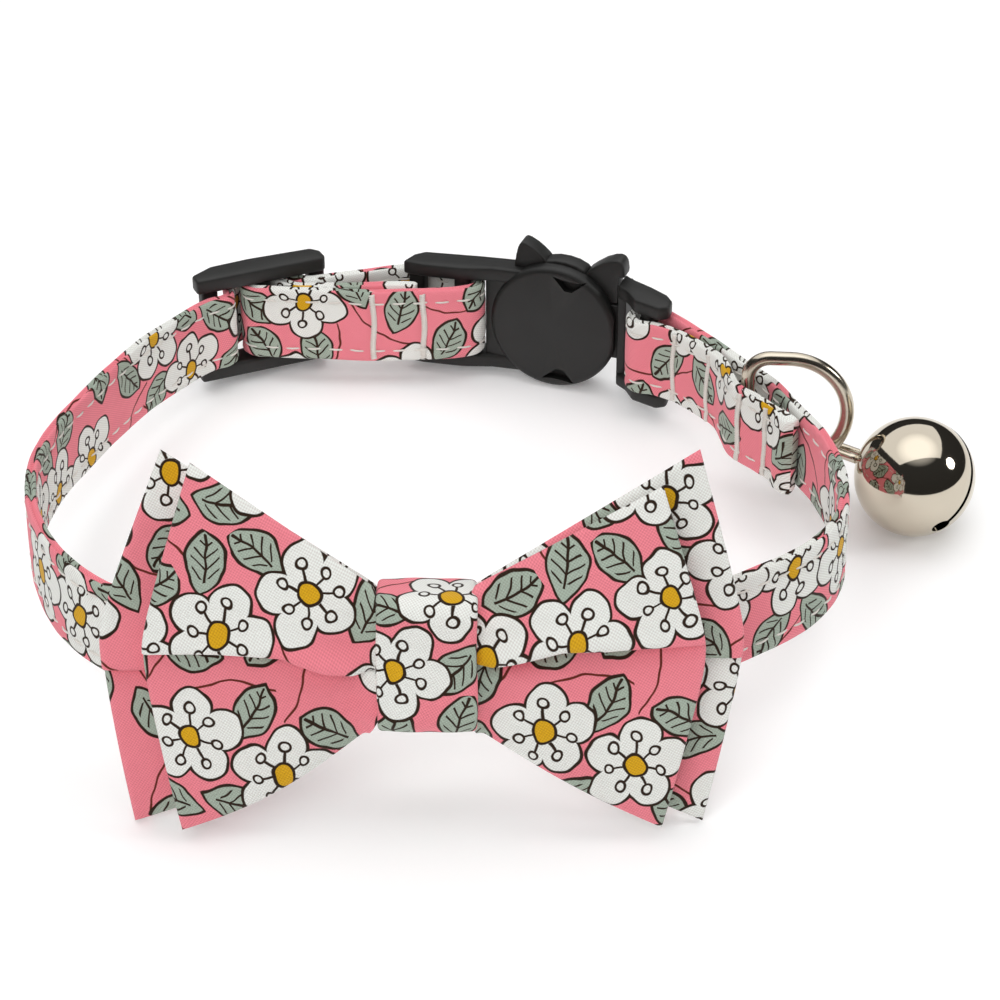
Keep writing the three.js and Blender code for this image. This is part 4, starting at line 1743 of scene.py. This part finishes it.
@dataclass(frozen=True)
class Moulding:
    """The sizes that the three plastic pieces share."""

    inside: float = 5.6
    height: float = 12.2
    bar: float = 1.15
    bevel: float = 0.42
    shade_angle: float = 32.0

    def rails(self, outline: Sequence[Plan], thick: float) -> list[bpy.types.Mesh]:
        """The two deep rails above and below the strap, of one outline in plan."""
        spans = ((self.inside, self.inside + thick), (-self.inside - thick, -self.inside))
        return [solid(moulded(outline, low, high, self.bevel)) for low, high in spans]

    def upright(self, x: float, y: float) -> bpy.types.Mesh:
        """A round bar that the strap runs over."""
        return rod(self.bar, self.height, Matrix.Translation((x, y, 0)))

    def post(self, size: Plan, place: Plan, bevel: float, taller: float = 0.0) -> bpy.types.Mesh:
        """A flat bar between the rails, of a size and at a place in plan."""
        return box((*size, self.height + taller), (*place, 0), bevel)


@dataclass
class Adjuster:
    """The plastic slide: two rails joined by a round bar and two flat ones."""

    stand: Stand = ADJUSTER_STAND
    pitch: float = 7.7
    thick: float = 2.1
    common: Moulding = Moulding()

    def mesh(self) -> bpy.types.Mesh:
        """The slide, in its own frame.

        Returns:
            The mesh.
        """
        outline = [(-9.7, -1.7), (8.4, -1.8), (8.9, -1.2), (8.9, 0.6), (7.9, 1.9), (-1.0, 2.4), (-6.5, 2.2),
                   (-9.7, 0.5)]
        low, high = self.common.rails(outline, self.thick)
        bars = [self.common.post((2.3, 1.8), (s, 0), 0.35) for s in (-self.pitch, self.pitch)]
        return carved(low, [(Boolean.JOIN, part) for part in (high, *bars, self.common.upright(0, 0))])

    def build(self, shop: Workshop, finish: bpy.types.Material) -> None:
        """Stands the slide on the strap."""
        mesh, place = by_angle(self.mesh(), self.common.shade_angle), shop.frame.matrix(self.stand.matrix())
        shop.placed("adjuster_slide", mesh, place, finish, ["adjuster"])


@dataclass
class Buckle:
    """The breakaway buckle: a round flat-faced disc with two ears, and the half that plugs into its side."""

    stand: Stand = Stand(15.2, 37.0, 0.0, -19.0)
    radius: float = 8.9
    depth: float = 5.2
    rim: float = 0.9
    thick: float = 2.0
    lean: float = 8.0
    notch_axis: float = 1.7
    notch_lean: float = 5.0
    common: Moulding = Moulding()

    def disc(self) -> bpy.types.Mesh:
        """The disc, with its rim rounded over on both faces.

        Returns:
            The solid.
        """
        turns = [math.radians(a) for a in range(0, 91, 15)]
        flat = self.radius - self.rim
        front = [(flat + self.rim * math.sin(t), self.rim - self.rim * math.cos(t)) for t in turns]
        back = [(r, self.depth - h) for r, h in reversed(front)]
        mesh = lathed([(0.0, 0.0), *front, *back, (0.0, self.depth)], 96).mesh("disc")
        mesh.transform(Matrix.Rotation(-math.pi / 2, 4, "X"))
        return mesh

    def leaned(self, points: Sequence[Plan], degrees: float) -> list[Plan]:
        """Points drawn upright on the disc's face, leaned to the right about its middle."""
        c, d = math.cos(math.radians(degrees)), math.sin(math.radians(degrees))
        return [(u * c + v * d, v * c - u * d) for u, v in points]

    def ears(self) -> list[bpy.types.Mesh]:
        """The two ears with their rounded tips, and the low brow between them.

        Returns:
            The solids.
        """
        right = [(7.6, 4.4), (8.1, 6.0), (8.3, 8.2), (8.2, 9.9), (7.95, 10.9), (7.5, 11.5), (6.9, 11.65),
                 (6.1, 11.4), (4.98, 10.7), (3.9, 9.7), (3.0, 8.7), (2.6, 4.4)]
        left = [(-2.4, 4.4), (-2.06, 8.1), (-2.98, 8.95), (-3.8, 9.5), (-4.7, 10.0), (-5.8, 10.4),
                (-6.4, 10.5), (-6.75, 10.2), (-6.95, 9.5), (-7.05, 8.4), (-7.05, 7.2), (-6.95, 5.7),
                (-6.9, 4.4)]
        brow = [(-3.6, 7.2), (-2.8, 8.8), (-1.4, 9.25), (0, 9.4), (1.4, 9.3), (2.8, 8.9), (3.6, 7.4)]
        return [plate(self.leaned(points, self.lean), *cut) for points, cut in (
            (right, (1.9, 4.6, 0.8)), (left, (1.9, 4.6, 0.8)), (brow, (1.8, 4.4, 0.4)),
        )]

    def notches(self) -> list[bpy.types.Mesh]:
        """The shapes that cut a pointed notch in the disc's face at its top and its bottom.

        Returns:
            The solids.
        """
        rim = math.sqrt(self.radius**2 - self.notch_axis**2)
        curve = [(-2.4, rim - 0.9), (-0.5, rim - 2.75), (0.5, rim - 2.75), (2.4, rim - 0.9),
                 (1.2, rim - 1.15), (0, rim - 1.2), (-1.2, rim - 1.15)]
        solids = []
        for side in (1, -1):
            points = self.leaned([(self.notch_axis + u, side * z) for u, z in curve], self.notch_lean)
            solids.append(plate(points[::-side], -1.0, 1.3, 0.01))
        return solids

    def socket(self) -> bpy.types.Mesh:
        """The half with the disc, in the buckle's own frame.

        Returns:
            The mesh.
        """
        outline = [(-20.9, -1.4), (-20.2, 1.1), (-19.0, 2.4), (-11.0, 3.6), (-4.0, 4.4), (-4.0, 0.6),
                   (-8.6, 0.2), (-12.6, -1.0), (-18.0, -1.6)]
        joined = [
            *self.common.rails(outline, self.thick), self.common.upright(-12.8, 0.15),
            self.common.post((2.2, 2.0), (-19.2, 0.15), 0.35),
            self.common.post((5.7, 3.2), (-6.9, 2.2), 0.3), *self.ears(),
        ]
        slot = box((11.0, 2.4, 8.6), (7.4, 2.6, 0), 0.1)
        side = box((4.0, 9.2, 16.4), (10.55, 2.0, 0), 0.05)
        steps = [(Boolean.JOIN, part) for part in joined]
        return carved(self.disc(), steps + [(Boolean.CUT, part) for part in (*self.notches(), slot, side)])

    def plug(self) -> bpy.types.Mesh:
        """The half that plugs in, in the buckle's own frame.

        Returns:
            The mesh.
        """
        outline = [(8.9, 4.6), (10.4, 3.4), (13.4, 1.9), (16.0, 0.3), (17.1, -1.2), (17.2, -3.0),
                   (15.9, -3.9), (12.2, -2.6), (10.6, -0.4), (8.9, 0.8)]
        low, high = self.common.rails(outline, self.thick)
        parts = [
            high, self.common.upright(14.2, -1.9), self.common.post((1.2, 3.6), (9.5, 2.7), 0.2, taller=2),
            box((7.0, 1.8, 8.0), (6.4, 2.6, 0), 0.3),
        ]
        return carved(low, [(Boolean.JOIN, part) for part in parts])

    def build(self, shop: Workshop, finish: bpy.types.Material) -> None:
        """Stands both halves at the back of the loop.

        Args:
            shop: The workshop.
            finish: The plastic.
        """
        place = shop.frame.matrix(self.stand.matrix())
        for name, node, mesh in (("buckle_disc_half", "buckle_socket", self.socket()),
                                 ("buckle_plug_half", "buckle_plug", self.plug())):
            mesh = by_angle(mesh, self.common.shade_angle)
            shop.placed(name, mesh, place, finish, [node])


@dataclass
class Ring:
    """The D-shaped wire ring in the strap's sewn end."""

    stand: Stand = Stand(39.6, 12.4, 1.0, -4.0)
    wire: float = 1.8
    half: float = 7.6
    arm: float = 5.1
    corner: float = 2.6

    def path(self) -> np.ndarray:
        """The wire's middle: the bar in the strap, a corner, an arm, the bow, and back.

        Returns:
            The points, as (out, 0, up).
        """
        inset = self.half - self.corner
        turns = np.linspace(0, np.pi / 2, 9)[1:]
        corner = [(self.corner * (1 - math.cos(t)), inset + self.corner * math.sin(t)) for t in turns]
        sweep = np.linspace(0, np.pi, 73)
        bow = [(self.arm + self.half * math.sin(t), self.half * math.cos(t)) for t in sweep]
        straight = [(self.corner + (self.arm - self.corner) * s, self.half) for s in (0.25, 0.5, 0.75)]
        bar = [(0.0, u) for u in np.linspace(-self.half + self.corner, self.half - self.corner, 12)]
        lower = [(o, -u) for o, u in reversed([*corner, *straight])]
        return np.array([(o, 0.0, u) for o, u in [*bar, *corner, *straight, *bow, *lower]])

    def build(self, shop: Workshop, finish: bpy.types.Material) -> None:
        """Makes the ring.

        Args:
            shop: The workshop.
            finish: The wire's metal.
        """
        mesh = tube(self.path(), self.wire / 2, 24, closed=True).mesh("d_ring_wire")
        place = shop.frame.matrix(self.stand.matrix())
        shop.placed("d_ring_wire", mesh, place, finish, ["d_ring"])


@dataclass
class Bell:
    """The round bell: a thin shell with a slit between two round holes, its wire loop, and the loose ball.

    slit_way points from the bell's middle to the slit's, and slit_run along it, in the row frame. reach is
    how far the slit's ends lie from its middle and hook how far down the ring the loop hangs, in degrees.
    """

    x: float = 60.4
    y: float = 5.0
    radius: float = 7.6
    wall: float = 0.55
    slit: float = 0.75
    slit_way: tuple[float, float, float] = (0.87, -0.356, 0.344)
    slit_run: tuple[float, float, float] = (0.047, 0.75, 0.66)
    hole: float = 1.2
    reach: float = 62.0
    hook: float = -40.0
    wire: float = 1.2
    loop_width: float = 4.1
    loop_sink: float = 0.6
    ball: float = 1.9
    ball_lift: float = 0.15
    gap: float = 0.3
    shade_angle: float = 25.0

    def centre(self, frame: LoopFrame) -> Vector:
        """The bell's middle, where it lies on the surface.

        Args:
            frame: The loop's frame.

        Returns:
            The middle in the loop frame.
        """
        tilt = math.radians(frame.tilt)
        height = (self.radius - frame.shift[2] + self.y * math.sin(tilt)) / math.cos(tilt)
        return Vector((self.x, self.y, height))

    def shell(self) -> bpy.types.Mesh:
        """The shell about its own middle, with its slit down.

        Returns:
            The mesh.
        """
        angle = math.radians(self.reach)
        top = -self.radius * math.cos(angle)
        deep = 8.0
        cuts = [box((self.slit, 2 * self.radius * math.sin(angle), deep), (0, 0, top - deep / 2), 0.02)]
        for side in (-1, 1):
            turn = Matrix.Rotation(side * angle, 4, "X") @ Matrix.Translation((0, 0, -self.radius))
            cuts.append(rod(self.hole, deep / 2, turn))
        cuts.append(ball(self.radius - self.wall, 40, 72).mesh("hollow"))
        return carved(ball(self.radius, 72, 144).mesh("shell"), [(Boolean.CUT, cut) for cut in cuts])

    def shell_turn(self, centre: Vector) -> Matrix:
        """The shell's placement, with its slit turned to the side.

        Args:
            centre: The bell's middle in the row frame.

        Returns:
            The placement in the row frame.
        """
        up = -Vector(self.slit_way).normalized()
        run = Vector(self.slit_run)
        run = (run - up * run.dot(up)).normalized()
        return Matrix.Translation(centre) @ Matrix((run.cross(up), run, up)).transposed().to_4x4()

    def wire_loop(self, top: float) -> Shape:
        """The soldered wire loop.

        Args:
            top: How far its wire's middle reaches from the bell's middle.

        Returns:
            The wire.
        """
        half = self.loop_width / 2
        foot, shoulder = self.radius - self.loop_sink, top - half
        arc = [(half * math.cos(t), 0.0, shoulder + half * math.sin(t)) for t in np.linspace(np.pi, 0, 25)]
        path = [(-half, 0.0, z) for z in np.linspace(foot, shoulder, 5)[:-1]] + arc
        path += [(half, 0.0, z) for z in np.linspace(shoulder, foot, 5)[1:]]
        return tube(np.array(path), self.wire / 2, 20)

    def build(self, shop: Workshop, ring: Ring, bright: bpy.types.Material,
              satin: bpy.types.Material) -> None:
        """Hooks the bell on the ring and drops the ball in it.

        Args:
            shop: The workshop.
            ring: The ring that the bell hangs on.
            bright: The bell's metal.
            satin: The metal of its wire loop.
        """
        angle = math.radians(self.hook)
        matrix = ring.stand.matrix()
        at = matrix @ Vector((ring.arm + ring.half * math.cos(angle), 0, ring.half * math.sin(angle)))
        along = matrix.to_3x3() @ Vector((-math.sin(angle), 0, math.cos(angle)))
        centre = self.centre(shop.frame)
        towards = at - centre
        top = towards.length + ring.wire / 2 + self.gap + self.wire / 2
        towards.normalize()
        side = (along - towards * along.dot(towards)).normalized()
        turn = Matrix((side.cross(towards), side, towards)).transposed().to_4x4()
        place = shop.frame.matrix(Matrix.Translation(centre) @ turn)
        down = self.radius - self.wall - self.ball_lift - self.ball - self.gap
        floor = Matrix.Translation(place.translation - Vector((0, 0, down)) * MM)
        shell = by_angle(self.shell(), self.shade_angle)
        shop.placed("bell_shell", shell, self.shell_turn(place.translation), bright, ["bell"])
        shop.placed("bell_loop", self.wire_loop(top).mesh("bell_loop"), place, satin)
        loose = ball(self.ball, 24, 40).mesh("bell_loose_ball")
        shop.placed("bell_loose_ball", loose, floor, bright, ["bell_ball"])


@dataclass(frozen=True)
class Softbox:
    """One studio light."""

    name: str
    place: tuple[float, float, float]
    aim: tuple[float, float, float]
    size: tuple[float, float]
    power: float
    round: bool = False
    mirrored: bool = True


@dataclass
class Studio:
    """The surface, the camera and the lights."""

    camera_place: tuple[float, float, float] = (-0.00154, -0.26368, 0.20113)
    camera_way: tuple[float, float, float] = (0.0, 0.80964, -0.58694)
    lens: float = 95.4
    floor_half: float = 1.6
    floor_drop: float = 0.00005
    lights: tuple[Softbox, ...] = (
        Softbox("overhead", (-0.1, 0.45, 0.95), (-0.05, 0.2, 0.0), (2.0, 1.9), 13.0),
        Softbox("side_lamp", (0.62, -0.06, 0.33), (0.0, 0.0, 0.0), (0.2, 0.2), 0.9, True),
        Softbox("front_fill", (-0.3, -0.85, 0.75), (0.0, 0.0, 0.0), (0.9, 0.7), 6.3, mirrored=False),
    )
    sky_stops: tuple[tuple[float, Colour], ...] = (
        (0.0, (0.04, 0.039, 0.038, 1.0)), (0.8, (0.05, 0.05, 0.05, 1.0)), (0.95, (0.9, 0.9, 0.9, 1.0)),
    )

    def build(self) -> None:
        """Sets the floor, the camera, the lights and the sky."""
        scene = bpy.context.scene
        self.floor()
        lens = bpy.data.cameras.new("photo_camera")
        lens.lens, lens.sensor_width = self.lens, 36.0
        lens.clip_start, lens.clip_end = 0.01, 20.0
        scene.camera = self.stood("photo_camera", lens, self.camera_place, self.camera_way)
        for light in self.lights:
            self.lamp(light)
        self.sky()
        scene.view_settings.view_transform = "Standard"

    def stood(self, name: str, data: bpy.types.ID, place: Sequence[float],
              way: Sequence[float]) -> bpy.types.Object:
        """Adds a camera or a light to the scene.

        Args:
            name: The object's name.
            data: The camera or the light.
            place: Where it stands.
            way: The direction it looks in.

        Returns:
            The object.
        """
        piece = bpy.data.objects.new(name, data)
        piece.location = place
        piece.rotation_euler = Vector(way).to_track_quat("-Z", "Y").to_euler()
        bpy.context.scene.collection.objects.link(piece)
        return piece

    def floor(self) -> None:
        """Lays the surface just under the collar."""
        edge = self.floor_half
        mesh = bpy.data.meshes.new("floor_sheet")
        mesh.from_pydata([(x * edge, y * edge, 0) for x, y in ((-1, -1), (1, -1), (1, 1), (-1, 1))], [],
                         [(0, 1, 2, 3)])
        mesh.materials.append(FloorFinish().material())
        floor = bpy.data.objects.new("floor_sheet", mesh)
        floor.location.z = -self.floor_drop
        bpy.context.scene.collection.objects.link(floor)

    def lamp(self, light: Softbox) -> None:
        """Hangs one light.

        Args:
            light: The light.
        """
        lamp = bpy.data.lights.new(light.name, "AREA")
        lamp.shape = "DISK" if light.round else "RECTANGLE"
        lamp.size, lamp.size_y = light.size
        lamp.energy = light.power
        piece = self.stood(light.name, lamp, light.place, Vector(light.aim) - Vector(light.place))
        piece.visible_glossy = light.mirrored

    def sky(self) -> None:
        """Fills the studio with soft light that is dim near the horizon and bright overhead."""
        graph = Graph(bpy.data.worlds.new("studio"))
        _, _, height = graph.parts(graph.node("ShaderNodeTexCoord").outputs["Generated"])
        ramp = graph.node("ShaderNodeValToRGB", {"stops": self.sky_stops}, {0: height})
        light = graph.node("ShaderNodeBackground", inputs={"Color": ramp.outputs[0], "Strength": 0.8})
        bpy.context.scene.world = graph.finish(light, "ShaderNodeOutputWorld")


def main() -> None:
    """Builds the collar, its stage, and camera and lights."""
    logging.basicConfig(level=logging.INFO, format="%(name)s: %(message)s")
    shop = Workshop(LoopFrame())
    plastic = PlasticFinish().material()
    nickel = NickelFinish("nickel", 0.07).material()
    satin = NickelFinish("nickel_wire", 0.2).material()
    Strap().build(shop)
    Adjuster().build(shop, plastic)
    Buckle().build(shop, plastic)
    ring = Ring()
    ring.build(shop, satin)
    Bell().build(shop, ring, nickel, satin)
    Bow().build(shop)
    Studio().build()


if __name__ == "__main__":
    main()
